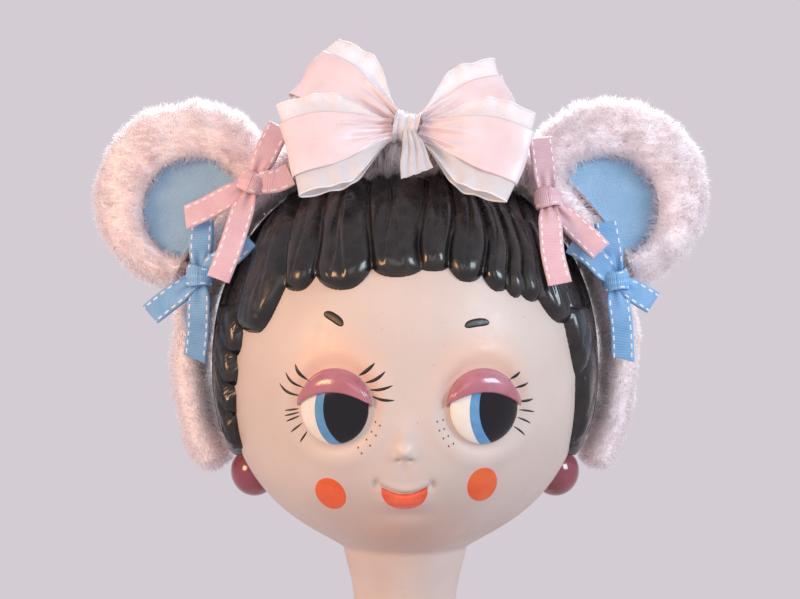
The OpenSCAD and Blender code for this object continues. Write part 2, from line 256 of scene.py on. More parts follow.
def relief(x, z):
    """How far the modelled face stands out of the plain head, in millimetres."""
    h = 2.7*hill(x, z, -0.4, 135.4, 3.6, 2.6) + 1.5*hill(x, z, -0.4, 140.0, 3.8, 7.0)
    h += 0.8*hill(x, z, -4.0, 133.2, 1.7, 1.6) + 0.8*hill(x, z, 3.2, 133.2, 1.7, 1.6)
    h -= 1.3*hill(x, z, -2.7, 131.8, 1.1, 0.8) + 1.3*hill(x, z, 1.9, 131.8, 1.1, 0.8)
    h += 2.2*hill(x, z, -0.4, 120.0, 15.0, 11.0) - 0.5*hill(x, z, -0.4, 127.0, 2.2, 3.6)
    h += 1.3*hill(x, z, -0.4, 101.0, 12.0, 7.0) - 0.8*hill(x, z, -0.4, 108.0, 9.0, 2.4)
    h += 1.2*hill(x, z, -33, 122, 17, 15) + 1.2*hill(x, z, 33, 122, 17, 15)
    d = z - mouth_line(x)
    across = ease((MOUTH_HALF + 0.8 - np.abs(x + 0.4))/2.5)
    h -= across*1.7*np.exp(-(d/0.8)**2)
    h += across*0.9*np.exp(-((d - 2.2)/1.6)**2)*np.exp(-(x/8)**2)
    h += 1.6*hill(x, z, -0.4, MOUTH_Z - 3.6, 8.0, 2.6)
    h -= 1.5*hill(x, z, -11.6, 121.6, 1.5, 2.0) + 1.5*hill(x, z, 10.8, 121.2, 1.5, 2.0)
    for ex in EYES.values():
        r = np.sqrt(((x - ex)/EYE_RX)**2 + ((z - EYE_Z)/EYE_RZ)**2)
        h -= 0.9*np.exp(-((r - 1.12)/0.16)**2)
        h += 0.7*np.exp(-((r - 1.5)/0.25)**2)
    return h


def plain_front(x, z):
    """The point of the plain head straight behind x and z of the face."""
    middle = HEAD_Y*ease((z - 50)/50)
    y = middle - HEAD_B*np.sqrt(np.maximum(skull(z)**2 - (x/HEAD_A)**2, 0))
    for _ in range(3):
        turn = np.arctan2(x, middle - y)
        ring = head_point(turn, z)
        radius = np.hypot(ring[..., 0], ring[..., 1] - middle)
        y = middle - np.sqrt(np.maximum(radius**2 - x**2, 0))
    return np.stack([x, y, z], axis=-1)


def face_point(x, z, lift):
    """A point above the modelled face, lift out along the surface normal."""
    x, z, lift = np.broadcast_arrays(np.asarray(x, float), z, lift)
    p = plain_front(x, z)
    return p + (lift + relief(x, z))[..., None]*head_normal(p)


# ---------------------------------------------------------------- head, eyes and paint

def skin_material():
    m = new_material("painted_skin", (0.76, 0.58, 0.49), 0.42, Coat_Weight=0.06, Coat_Roughness=0.45)
    at = place(m)
    blotch = patchy(m, at, 34, 2.0, low=0.35, high=0.65)
    skin = blend_colors(m, blotch, (0.61, 0.515, 0.455), (0.66, 0.565, 0.505))
    for ex in EYES.values():
        y = float(face_point(ex, EYE_Z + 14, 0.0)[1])
        blush = near(m, at, (ex, y, EYE_Z + 11), 12.0, 13.0)
        skin = blend_colors(m, times(m, blush, 0.35), skin, (0.86, 0.42, 0.24))
    # painted shade: the skin turns darker and warmer round and under the chin, where shadow falls
    painted_chin_shade = near(m, at, (0, float(face_point(0, 104, 0.0)[1]) + 6, 98), 8.0, 26.0)
    skin = blend_colors(m, times(m, painted_chin_shade, 0.40), skin, (0.66, 0.38, 0.26))
    specks = patchy(m, at, 1.1, 1.0, low=0.74, high=0.80, to=(0.0, 0.5))
    tint(m, specks, skin, (0.42, 0.25, 0.17))
    connect(m, "Roughness", patchy(m, at, 7, 4.0, to=(0.36, 0.52)))
    bump(m, noise(m, at, 1.4, 3.0), 0.035)
    return m


def build_head():
    """Head and neck as one closed moulding: outer skin, rim, and the inside of the foot."""
    sides, jaw_dense = 460, 0.62
    base = np.linspace(-math.pi, math.pi, sides, endpoint=False)
    turn = base - jaw_dense*np.sin(base)
    levels = np.concatenate([
        HEAD_Z + HEAD_C*np.sin(np.linspace(math.radians(88.5), math.radians(2), 44)),
        np.linspace(168, 147, 24), np.linspace(146.4, 104, 78), np.linspace(103, 60, 34),
        np.linspace(58, RIM_Z, 14)])
    levels = np.concatenate([[levels[0]], levels[1:][np.diff(levels) < -0.05]])
    t, z = np.meshgrid(turn, levels)
    p = head_point(t, z)
    front = ease((np.cos(t) - 0.25)/0.2)*ease((z - 88)/8)
    p += (relief(p[..., 0], z)*front)[..., None]*head_normal(p)
    inner_z = np.array([RIM_Z, 30.0, 36.0, 44.0])
    t, z = np.meshgrid(turn, inner_z)
    rings = np.concatenate([p, head_point(t, z, -WALL)])
    points, faces = close_rings(rings, True, [[0, HEAD_Y, HEAD_Z + HEAD_C], [0, 0, inner_z[-1]]])
    mesh_piece("head_skin", points, faces, "head", "skin_vinyl", skin_material(), ["head_shell"])


def dome(r):
    """Height of an eye above the plain head at r, where 1 is its edge."""
    return 0.3 + EYE_DOME*np.sqrt(np.clip(1 - r*r, 0, 1))


def eye_point(ex, x, z, lift):
    """A point above an eye. It ignores the face's own relief."""
    x, z, lift = np.broadcast_arrays(np.asarray(x, float), z, lift)
    p = plain_front(x, z)
    r = np.hypot((x - ex)/EYE_RX, (z - EYE_Z)/EYE_RZ)
    return p + (lift + dome(r))[..., None]*head_normal(p)


def patch(name, surface, cx, cz, reach, thick, sink, slot, material, replaces=(), rings=12, sides=72):
    """A thin closed plate on a surface. reach(angle) is its outline from (cx, cz)."""
    a = np.linspace(0, 2*math.pi, sides, endpoint=False)
    edge = reach(a)
    rho = np.sin(np.linspace(0.04, 1, rings)*math.pi/2)[:, None]
    x, z = cx + rho*edge*np.cos(a), cz + rho*edge*np.sin(a)
    lift = thick*np.clip((1 - rho**6), 0, 1)**0.5 + 0*x
    top, low = surface(x, z, lift), surface(x, z, -sink + 0*x)[::-1]
    middles = np.stack([surface(cx, cz, thick), surface(cx, cz, -sink)])
    points, faces = close_rings(np.concatenate([top, low]), False, middles)
    return mesh_piece(name, points, faces, "head", slot, material, replaces)


def round_reach(cx, cz, circle_x, circle_z, rx, rz, ex):
    """Outline of an ellipse, cut by the edge of the eye at ex."""
    def reach(a):
        r = np.linspace(0.05, 40, 1600)[:, None]
        x, z = cx + r*np.cos(a), cz + r*np.sin(a)
        inside = ((x - circle_x)/rx)**2 + ((z - circle_z)/rz)**2 < 1
        inside &= ((x - ex)/(EYE_RX - 0.15))**2 + ((z - EYE_Z)/(EYE_RZ - 0.15))**2 < 1
        return r[np.argmin(inside, axis=0), 0]
    return reach


def build_eyes():
    white = new_material("eye_white", (0.83, 0.79, 0.68), 0.2, Coat_Weight=0.4, Coat_Roughness=0.1)
    at = place(white)
    tint(white, patchy(white, at, 9, low=0.35, high=0.65), (0.80, 0.75, 0.63), (0.86, 0.83, 0.74))
    blue = new_material("iris_blue", (0.12, 0.37, 0.68), 0.25, Coat_Weight=0.4, Coat_Roughness=0.1)
    at = place(blue)
    tint(blue, patchy(blue, at, 4), (0.075, 0.27, 0.52), (0.13, 0.35, 0.60))
    black = new_material("pupil_black", (0.003, 0.003, 0.006), 0.13, Specular_IOR_Level=0.35, Coat_Weight=0.3,
                         Coat_Roughness=0.05)
    bump(black, noise(black, place(black), 2.5), 0.02)
    for side, ex in EYES.items():
        def surface(x, z, lift, ex=ex):
            return eye_point(ex, x, z, lift)
        whole = round_reach(ex, EYE_Z, ex, EYE_Z, 60, 60, ex)
        patch(f"{side}_eye_white", surface, ex, EYE_Z, whole, 0.0, 1.2, "eye_vinyl", white,
              [f"{side}_eye"], rings=30, sides=96)
        iris = round_reach(ex + 5, EYE_Z - 2, ex + IRIS_SHIFT, EYE_Z - 0.5, IRIS_R, IRIS_R + 3.5, ex)
        patch(f"{side}_iris", surface, ex + 5, EYE_Z - 2, iris, 0.14, 0.2, "eye_vinyl", blue,
              rings=20, sides=128)
        pupil = round_reach(ex + 6, EYE_Z - 2, ex + PUPIL_SHIFT, EYE_Z + 0.5, PUPIL_R, PUPIL_R + 4, ex)
        patch(f"{side}_pupil", surface, ex + 6, EYE_Z - 2, pupil, 0.28, 0.05, "eye_vinyl", black,
              rings=24, sides=128)


def lid_low(u, side):
    """Lower edge of an eyelid above the middle of the eye, u from -1 to 1 across it."""
    tilt = {"left": -0.6, "right": 1.0}[side]
    return 6.6 - 5.6*u*u - 0.6*tilt*u


def build_lids():
    m = new_material("lid_paint", (0.50, 0.17, 0.21), 0.2, Coat_Weight=0.7, Coat_Roughness=0.12)
    at = place(m)
    tint(m, patchy(m, at, 10, low=0.35, high=0.65), (0.40, 0.13, 0.16), (0.48, 0.19, 0.24))
    bump(m, noise(m, at, 2.2), 0.05)
    nu, nv, thick = 96, 20, 2.3
    u = np.sin(np.linspace(-1, 1, nu)*math.pi/2*0.97)[:, None]
    v = np.linspace(0, 1, nv)[None, :]
    for side, ex in EYES.items():
        high = (EYE_RZ + 1.0)*np.sqrt(1 - u*u)
        low = np.minimum(lid_low(u, side), high - 0.25)
        z = mixed(low, high, v)
        x = (EYE_RX + 1.0)*u + 0*z
        puff = thick*(1 - (2*np.clip(v, 0, 1)**1.6 - 0.75)**2*0.45)*ease((1.02 - v)*3.2)**0.5
        puff = puff*ease(v*9 + 0.35)*np.clip((high - low)/5, 0.12, 1)**0.5
        top = eye_point(ex, ex + x, EYE_Z + z, puff + 0.1)
        low_side = eye_point(ex, ex + x, EYE_Z + z, -1.2 + 0*z)[:, ::-1]
        rows = np.concatenate([top, low_side], axis=1)
        n = rows.shape[1]
        points = rows.reshape(-1, 3)
        faces = grid_faces(nu, n, wrap=True)
        ends = [np.arange(n), (nu - 1)*n + np.arange(n)]
        mids = np.stack([points[e].mean(axis=0) for e in ends])
        points = np.concatenate([points, mids])
        mesh_piece(f"{side}_lid", points, [faces, fan_faces(ends[0], nu*n, flip=True),
                                           fan_faces(ends[1], nu*n + 1)],
                   "head", "lid_gloss", m, [f"{side}_eyelid"])


def brush_stroke(a, b, bend, width, steps=18, taper=(0.25, 0.05)):
    """A painted stroke on the face from a to b, thick in its middle, with rounded edges."""
    a, b = np.array(a, float), np.array(b, float)
    t = np.linspace(0, 1, steps)
    d = unit(b - a)
    n = np.array([-d[1], d[0]])
    mid = a + (b - a)*t[:, None] + n*(bend*4*t*(1 - t))[:, None]
    least = mixed(taper[0], taper[1], t)
    half = width/2*(least + (1 - least)*np.sin(math.pi*t)**0.7)
    if taper[0] == 0:
        half = width/2*np.sqrt(np.clip(1 - np.abs(2*t - 1)**3.2, 0, 1))
    across = np.linspace(-1, 1, 5)
    x = mid[:, None, 0] + across*n[0]*half[:, None]
    z = mid[:, None, 1] + across*n[1]*half[:, None]
    lift = 0.16*np.sqrt(1 - across**2) + 0.02 + 0*x
    rows = np.concatenate([face_point(x, z, lift), face_point(x, z, -0.15 + 0*x)[:, ::-1]], axis=1)
    return close_rings(rows, True)


def joined(parts):
    """Puts several (points, faces) parts into one, with triangles and quads kept apart."""
    points, faces, first = [], {3: [], 4: []}, 0
    for p, fs in parts:
        for f in fs if isinstance(fs, list) else [fs]:
            faces[f.shape[1]].append(f + first)
        points.append(p)
        first += len(p)
    return np.concatenate(points), [np.concatenate(f) for f in faces.values() if f]


def angled(cx, cz, length, degrees):
    """Both ends of a stroke of a length and slope with its middle at cx, cz."""
    dx, dz = length/2*math.cos(math.radians(degrees)), length/2*math.sin(math.radians(degrees))
    return (cx - dx, cz - dz), (cx + dx, cz + dz)


def build_paint():
    ink = new_material("lash_ink", (0.012, 0.008, 0.008), 0.35)
    connect(ink, "Roughness", patchy(ink, place(ink), 1.5, to=(0.28, 0.5)))
    # each stroke: angle round the eye where it starts, its length, its slope, bend and width
    upper_in = [(52, 8.4, 38, -0.5, 1.5), (38, 9.4, 30, -0.9, 1.4), (26, 9.6, 12, -0.6, 1.2),
                (16, 9.2, -8, -0.5, 1.2)]
    upper_out = [(139, 7.8, 124, 0.7, 1.4), (152, 9.0, 137, 0.9, 1.1), (165, 9.4, 148, 0.9, 1.1)]
    lower_out = [(184, 5.0, 186, 0, 0.8), (189, 5.4, 194, 0, 0.8), (194, 5.4, 204, 0, 0.8),
                 (205, 5.4, 222, 0, 0.8), (219, 4.6, 243, 0, 0.8)]
    right = [(42, 4.6, 44, -0.3, 1.2), (27, 5.0, 26, -0.3, 1.1), (6, 5.2, 14, -0.2, 1.1),
             (-6, 5.8, -8, 0.2, 0.8), (-17, 5.2, -26, 0.2, 0.8), (-31, 5.2, -42, 0.2, 0.8)]
    parts = []
    for side, strokes in (("left", upper_in + upper_out + lower_out), ("right", right)):
        for start, length, slope, bend, width in strokes:
            a, b = math.radians(start), math.radians(slope)
            p = np.array([EYES[side] + (EYE_RX + 1.7)*math.cos(a), EYE_Z + (EYE_RZ + 1.7)*math.sin(a)])
            parts.append(brush_stroke(p, p + length*np.array([math.cos(b), math.sin(b)]), bend, width))
    mesh_piece("painted_lashes", *joined(parts), "head", "hair_vinyl", ink)

    brow = new_material("brow_ink", (0.012, 0.009, 0.009), 0.35)
    connect(brow, "Roughness", patchy(brow, place(brow), 1.5, to=(0.3, 0.45)))
    parts = [brush_stroke(*angled(-29.2, 188.6, 9.4, -33), 0.5, 3.6, 40, (0, 0)),
             brush_stroke(*angled(29.0, 186.5, 10.4, 8), 0.6, 3.4, 40, (0, 0))]
    mesh_piece("painted_brows", *joined(parts), "head", "hair_vinyl", brow)

    freckle = new_material("freckle_paint", (0.26, 0.06, 0.03), 0.5)
    connect(freckle, "Roughness", patchy(freckle, place(freckle), 1.0, to=(0.4, 0.6)))
    spots = [(-12.2, 147.0), (-10.3, 145.8), (-13.8, 143.0), (-11.9, 141.8), (-15.8, 139.8),
             (-14.2, 137.7), (-19.2, 136.5), (-17.6, 134.5),
             (12.7, 147.4), (15.2, 147.8), (13.6, 143.8), (15.6, 144.2), (15.2, 140.6), (17.3, 141.3),
             (17.3, 137.4), (19.3, 138.2)]
    parts = [brush_stroke((x - 0.3, z), (x + 0.3, z + 0.05), 0, 0.85, 6, (0.6, 0.6)) for x, z in spots]
    mesh_piece("painted_freckles", *joined(parts), "head", "skin_vinyl", freckle)

    cheek = new_material("cheek_paint", (0.80, 0.12, 0.025), 0.4)
    at = place(cheek)
    tint(cheek, patchy(cheek, at, 11), (0.80, 0.105, 0.022), (0.86, 0.155, 0.04))
    bump(cheek, noise(cheek, at, 1.4), 0.03)
    for name, cx, cz, half_long, half_short, slope in (("left_cheek", -30.6, 116.6, 7.4, 6.1, 118),
                                                       ("right_cheek", 31.2, 120.8, 7.6, 6.1, 76)):
        def reach(a, p=half_long, q=half_short, s=math.radians(slope)):
            return 1/np.sqrt((np.cos(a - s)/p)**2 + (np.sin(a - s)/q)**2)
        patch(name, face_point, cx, cz, reach, 0.10, 0.15, "skin_vinyl", cheek)

    lip = new_material("lip_paint", (0.80, 0.10, 0.03), 0.25, Coat_Weight=0.3)
    at = place(lip)
    tint(lip, patchy(lip, at, 5), (0.76, 0.085, 0.03), (0.84, 0.14, 0.06))
    def lip_reach(a):
        r = np.linspace(0.05, 20, 1200)[:, None]
        x, z = r*np.cos(a), MOUTH_Z - 2.6 + r*np.sin(a)
        inside = z < mouth_line(x) - 0.45
        inside &= (x/9.3)**2 + ((z - MOUTH_Z - 1.2)/8.2)**2 < 1
        return r[np.argmin(inside, axis=0), 0]
    patch("lower_lip", lambda x, z, h: face_point(x - 0.4, z, h), 0, MOUTH_Z - 2.6, lip_reach, 0.22, 0.3,
          "skin_vinyl", lip, rings=40, sides=180)


def build_earrings():
    m = new_material("earring_paint", (0.42, 0.11, 0.15), 0.16, Coat_Weight=0.8, Coat_Roughness=0.08)
    at = place(m)
    tint(m, patchy(m, at, 9, low=0.35, high=0.65), (0.20, 0.030, 0.040), (0.27, 0.055, 0.085))
    rows, sides, radius = 48, 96, 10.8
    for side, sign in (("left", -1), ("right", 1)):
        centre = np.array([sign*68.3, 8.0, 118.7])
        out = unit(np.array([sign*0.825, 0.16, -0.54]))
        across = unit(np.cross(out, [0, 0, 1.0]))
        up = np.cross(across, out)
        polar = np.linspace(0.03, math.radians(103), rows)[:, None]
        a = np.linspace(0, 2*math.pi, sides, endpoint=False)
        ball = np.cos(polar)[..., None]*out + np.sin(polar)[..., None]*(
            np.cos(a)[..., None]*across + np.sin(a)[..., None]*up)
        drop = 1 + 0.05*np.clip(-ball[..., 2:3], 0, 1)**3
        rings = centre + radius*drop*ball
        points, faces = close_rings(rings, True, np.stack([centre + radius*out, rings[-1].mean(axis=0)]))
        mesh_piece(f"{side}_ear_ball", points, faces, "head", "earring_gloss", m, [f"{side}_earring"])


# ---------------------------------------------------------------- hair

FRINGE_Z, FRINGE_SIDE_Z, TEMPLE_Z, NAPE_Z = 200.0, 184.0, 132.0, 113.0
# how far the hair stands out of the head at the crown, and how far its inner side sinks in
CROWN_H, HAIR_SINK = 5.2, 1.9
# fringe, from the left: the turn and height of each notch, the height of the lock tip between two notches
NOTCH_TURN = np.array([-62.7, -41.3, -30.0, -11.0, 5.5, 14.1, 25.2, 33.2, 38.8, 46.0, 60.0])
NOTCH_Z = np.array([185.6, 201.5, 206.0, 209.0, 208.5, 209.5, 206.3, 200.8, 198.6, 196.4, 184.5])
TIP_Z = np.array([182.6, 200.0, 200.4, 205.6, 208.0, 203.6, 199.8, 197.2, 195.6, 186.5])
TIP_LEAN = np.array([0.05, 0.0, 0.1, -0.05, 0.1, 0.0, 0.25, 0.2, 0.2, 0.55])
# temples, from the top: height and turn of each notch of the inner edge
TEMPLES = {-1: (np.array([190.0, 173.0, 160.5, 148.4, 133.0]), np.array([62.0, 63.4, 66.3, 68.0, 72.0]), 3.3),
           1: (np.array([190.0, 164.0, 134.0]), np.array([58.0, 64.4, 72.0]), 1.6)}


def fringe_height(turn, z):
    """Height of the fringe over the head: broad locks that part at notches."""
    rise = np.clip((z - 200)/50, -0.4, 1)
    sway = 1.5*np.sin((z - 200)/13 + turn*0.11)*ease((z - 204)/14)
    low = turn*np.clip(skull(z)/skull(np.array(206.0)), 0.3, 1)**0.92 + sway
    k = np.clip(np.searchsorted(NOTCH_TURN, low) - 1, 0, len(TIP_Z) - 1)
    half = (NOTCH_TURN[k + 1] - NOTCH_TURN[k])/2
    u = np.clip((low - NOTCH_TURN[k])/half - 1, -1.4, 1.4)
    skew = TIP_LEAN[k]
    across = np.where(u > skew, (u - skew)/(1 - skew), (u - skew)/(1 + skew))
    notch = np.where(u > skew, NOTCH_Z[k + 1], NOTCH_Z[k])
    edge_z = TIP_Z[k] + (notch - TIP_Z[k])*np.abs(across)**2.4
    above = z - edge_z
    end = np.sqrt(np.clip(1 - (1 - np.clip(above/6.5, 0, 1))**2, 0, 1))
    wide = half/9
    round_side = mixed(1 - 0.74*np.abs(u)**3.4, 1 - 0.55*np.abs(u)**4, ease(above/26))
    h = (4.9 + 0.9*np.clip(wide, 0.4, 1.4))*end*np.clip(round_side, 0, 1)
    for n, (start, drift, depth) in enumerate(((-0.42, 0.35, 0.9), (0.30, -0.30, 0.8), (-0.02, 0.55, 0.5))):
        path = start + drift*ease(rise*1.3 + 0.1) + 0.10*np.sin(z/7 + 2.1*k + n) + 0.12*np.sin(1.7*k + n)
        shown = ease((wide - (0.45, 0.75, 1.2)[n])/0.2 + 0.5)*ease((above - 1.5)/6)
        h -= depth*shown*np.exp(-((u - path)/0.085)**2)
        h += 0.42*shown*np.tanh((u - path)/0.12)*np.exp(-((u - path)/0.45)**2)
    inside = (low > NOTCH_TURN[0]) & (low < NOTCH_TURN[-1])
    return np.where(inside, np.where(above > 0, h, np.maximum(above, -1)*5), -5.0)


def temple_height(turn, z):
    """Height of the hair in front of the ears: its inner edge is a row of curls."""
    best = np.full(turn.shape, -5.0)
    for sign, (heights, turns, bulge) in TEMPLES.items():
        t = sign*turn
        line_z, line_turn = np.append(heights, [129.0, 126.0]), np.append(turns, [79.0, 90.0])
        edge = np.interp(-z, -line_z, line_turn)
        back = (t - edge)*1.38
        slid = z - 0.75*np.clip(back, -4, 16)
        k = np.clip(np.searchsorted(-heights, -slid) - 1, 0, len(heights) - 2)
        w = np.clip(2*(slid - heights[k + 1])/(heights[k] - heights[k + 1]) - 1, -1, 1)
        back = back + bulge*1.38*(1 - np.abs(w)**2.4)
        end = np.sqrt(np.clip(1 - (1 - np.clip(back/5.0, 0, 1))**2, 0, 1))
        curl = 1 - (0.50 - 0.03*np.clip(back, 0, 10))*np.abs(w)**4
        h = 5.6*end*curl - 0.6*np.exp(-((w + 0.15)/0.12)**2)*ease(back/5)*ease((20 - back)/8)
        used = (t > 35) & (t < 88) & (z < 192) & (back > 0)
        best = np.where(used, np.maximum(best, h*ease((88 - t)/8)), best)
    return best


def lock_list():
    """Locks at the sides and back as (turn and height of the root, of the tip, half widths, thickness)."""
    locks = []
    for sign in (-1, 1):
        for k in range(4):
            turn = sign*(77 + 8.5*k)
            locks.append((turn + sign*8, 240, turn, 137.5 - (1.5 if k % 2 else 0), 6.6, 6.0, 5.6))
    for k in range(17):
        turn = 180 + (k - 8)*8.6
        locks.append((turn + 3*math.sin(k), 240, turn + 2*(k % 2) - 1, 119 + 0.30*(k - 8)**2, 6.8, 6.4, 5.6))
    return locks


def lock_height(turn_deg, z):
    """Height of the long locks over the head. It is negative outside every lock."""
    best = np.full(turn_deg.shape, -4.0)
    for t0, z0, t1, z1, half0, half1, thick in lock_list():
        reach = np.radians(np.abs((turn_deg - (t0 + t1)/2 + 180) % 360 - 180))*85
        close = (reach < 34) & (z > z1 - 14) & (z < z0)
        zz, tt = z[close], turn_deg[close]
        along = np.clip((z0 - zz)/(z0 - z1), 0, 1)
        centre = mixed(t0, t1, ease(along)) + 1.6*np.sin(zz/17 + t1)
        side = np.radians((tt - centre + 180) % 360 - 180)*(HEAD_A*skull(zz, 0) + 6)
        past = np.maximum(z1 + 6 - zz, 0)
        half = mixed(half0, half1, along)
        d = np.sqrt(side**2 + past**2)/half
        h = np.where(d < 1, thick*np.sqrt(np.clip(1 - d**2.6, 0, 1)), -5.0*(d - 1))
        groove = np.exp(-((side/half - 0.30 + 0.2*np.sin(zz/14))/0.10)**2)
        groove += 0.8*np.exp(-((side/half + 0.42)/0.09)**2)
        best[close] = np.maximum(best[close], h - 0.6*groove*(d < 1)*ease((1 - d)*5))
    return best


def hairline(turn_deg):
    """Height above which the locks grow out of one solid cap."""
    t = np.abs(turn_deg)
    front = mixed(FRINGE_Z + 17, FRINGE_SIDE_Z + 12, np.clip(t/60, 0, 1)**2)
    temple = mixed(FRINGE_SIDE_Z + 12, TEMPLE_Z + 12, np.clip((t - 60)/14, 0, 1))
    back = mixed(TEMPLE_Z + 12, NAPE_Z + 14, ease((t - 105)/45))
    return np.where(t < 60, front, np.where(t < 105, temple, back))


def hair_material():
    m = new_material("glossy_black_hair", (0.008, 0.007, 0.008), 0.24, Coat_Weight=0.35, Coat_Roughness=0.12)
    at = place(m)
    tint(m, patchy(m, at, 6, 4.0, low=0.45, high=0.75), (0.006, 0.0055, 0.006), (0.026, 0.020, 0.016))
    connect(m, "Roughness", patchy(m, at, 5, 5.0, low=0.35, high=0.7, to=(0.18, 0.40)))
    bump(m, noise(m, at, 1.8, 4.0), 0.08)
    return m


def build_hair():
    sides, rows, inner_rows = 640, 138, 14
    base = np.linspace(-180, 180, sides, endpoint=False)
    turn = base - math.degrees(0.40)*np.sin(np.radians(base))
    low = hairline(turn) - 24
    last = np.arccos(np.clip((low - HEAD_Z)/HEAD_C, -1, 1))

    def ring_z(count, power):
        part = np.linspace(0, 1, count)[:, None]**power
        return HEAD_Z + HEAD_C*np.cos(mixed(math.radians(1.5), last, part))
    z = ring_z(rows, 0.72)
    t = turn + 0*z
    h = np.maximum(fringe_height(t, z), temple_height(t, z))
    h = np.maximum(h, lock_height(t, z))
    h = np.maximum(h, 2.9*ease((z - hairline(t))/9) - 4.0*ease((hairline(t) - z)/3))
    h = np.maximum(mixed(h, CROWN_H, ease((z - 246)/7)), -1.2)
    p = head_point(np.radians(t), z)
    outer = p + h[..., None]*head_normal(p)
    z = ring_z(inner_rows, 1.0)
    p = head_point(np.radians(turn + 0*z), z)
    inner = p - HAIR_SINK*head_normal(p)
    ends = [[0, HEAD_Y, HEAD_Z + HEAD_C + CROWN_H], [0, HEAD_Y, HEAD_Z + HEAD_C - HAIR_SINK]]
    points, faces = close_rings(np.concatenate([outer, inner[::-1]]), True, ends)
    mesh_piece("moulded_hair", points, faces, "head", "hair_vinyl", hair_material(), ["hair_cap"])


# ---------------------------------------------------------------- plush

BAND_A, BAND_C, BAND_END = 96.6, 102.2, 115.0
BAND_FRONT_Y, BAND_BACK_Y = -18.0, 18.0
BAND_FORWARD, BAND_DIP, BAND_LEAN, BAND_FADE = 9.0, 4.0, 16.0, 48.0
BAND_W, BAND_T = 38.0, 16.0
EAR_R, EAR_T, FELT_R, ARCH_R = 41.5, 26.0, 23.0, 108.0
EARS = {"left": (-1, (-95.5, -8.0, 242.0)), "right": (1, (91.5, -8.0, 243.0))}
FELT_IN, FELT_DOWN, FELT_DEPTH = 3.0, 6.0, 9.0
PILE = 4.6


def band_frame(t):
    """Middle of the band, its direction to the back and its outward direction, t in radians from the top."""
    end = math.radians(BAND_END)
    top = 1 - ease(np.abs(t)/math.radians(BAND_FADE))
    y = mixed(BAND_FRONT_Y, BAND_BACK_Y, (1 - np.cos(t))/(1 - math.cos(end))) - BAND_FORWARD*top
    p = np.stack([BAND_A*np.sin(t), y, HEAD_Z + BAND_C*np.cos(t) - BAND_DIP*top], axis=-1)
    flat_out = unit(np.stack([np.sin(t)/BAND_A, 0*t, np.cos(t)/BAND_C], axis=-1))
    lean, back = math.radians(BAND_LEAN)*top[..., None], np.array([0, 1.0, 0])
    return p, np.cos(lean)*back + np.sin(lean)*flat_out, np.cos(lean)*flat_out - np.sin(lean)*back


def lumps(p, size, seed, waves=14):
    """Smooth lumps from -1 to 1 about size millimetres across."""
    rng = np.random.default_rng(seed)
    k = rng.normal(size=(waves, 3))*2.2/size
    phase = rng.uniform(0, 2*math.pi, waves)
    return np.sin(p @ k.T + phase).sum(axis=-1)/math.sqrt(waves/2)/1.6


def surface_normals(grid):
    """Normals of a closed-column grid of points, as its faces wind."""
    d_col = np.roll(grid, -1, axis=1) - np.roll(grid, 1, axis=1)
    d_row = np.gradient(grid, axis=0)
    return unit(np.cross(d_col, d_row))


def facing_out(grid, middle):
    """Normals of a grid that point away from middle, and the closed surface that goes with them."""
    normals = surface_normals(grid)
    flip = bool(np.sum(normals*(grid - middle)) < 0)
    points, faces = close_rings(grid, flip)
    return -normals if flip else normals, points, faces


def band_plush_grid():
    """Rings of the plush band's backing, from one rounded end to the other."""
    end = math.radians(BAND_END)
    body = np.linspace(-end, end, 260)
    cap = np.linspace(0, math.pi/2*0.97, 9)[1:]
    t = np.concatenate([-end - 0.035*np.sin(cap[::-1]), body, end + 0.035*np.sin(cap)])
    size = np.concatenate([np.cos(cap[::-1]), np.ones(len(body)), np.cos(cap)])
    a = np.linspace(0, 2*math.pi, 64, endpoint=False)
    p, back, out = band_frame(t)
    half_w, half_t = (BAND_W/2 - 1.6)*size[:, None], (BAND_T/2 - 1.2)*size[:, None]
    c, s = np.cos(a), np.sin(a)
    across = half_w*np.sign(c)*np.abs(c)**0.75
    high = half_t*np.sign(s)*np.abs(s)**0.8
    return p[:, None] + across[..., None]*back[:, None] + high[..., None]*out[:, None]


def beyond_arch(p, gap=0.0):
    """Moves points of an ear that are inside the band's arch out to it, so the ear ends where it sits."""
    away = np.hypot(p[..., 0], p[..., 2] - HEAD_Z)
    limit = ARCH_R + gap
    wanted = np.where(away < limit, limit - 0.02*(limit - away), away)
    out = p.copy()
    out[..., 0] = p[..., 0]*wanted/away
    out[..., 2] = HEAD_Z + (p[..., 2] - HEAD_Z)*wanted/away
    return out


def ear_plush_grid(side):
    """Rings of one ear's backing: from the middle of the recess, over the rim, to the middle of the back."""
    sign, at = EARS[side]
    a = np.linspace(0, 2*math.pi, 150, endpoint=False)
    ring = np.stack([np.cos(a), 0*a, np.sin(a)], axis=-1)
    felt_mid = np.array([-sign*FELT_IN, 0, -FELT_DOWN])
    floor_y = -(EAR_T/2 - FELT_DEPTH) + 0.4
    half, outer = EAR_T/2 - 1.5, EAR_R - 1.4
    rows = []
    for k in np.linspace(0.06, 1, 8):
        rows.append(felt_mid + ring*(FELT_R + 0.3)*k + [0, floor_y, 0])
    for k in np.linspace(0, 1, 34)[1:]:
        ang = k*math.pi
        inner, rim = felt_mid + ring*(FELT_R + 0.3), ring*outer
        y = mixed(floor_y, 0, ease(k)) - half*math.sin(ang)**0.62*(1 - 0.28*k)
        rows.append(mixed(inner, rim, (1 - math.cos(ang))/2) + [0, y, 0])
    for k in np.linspace(0, 1, 26)[1:]:
        ang = k*math.pi/2
        rows.append(ring*(outer*math.cos(ang)**0.55 + 0.4) + [0, half*math.sin(ang)**0.8, 0])
    return beyond_arch(np.stack(rows) + np.array(at))


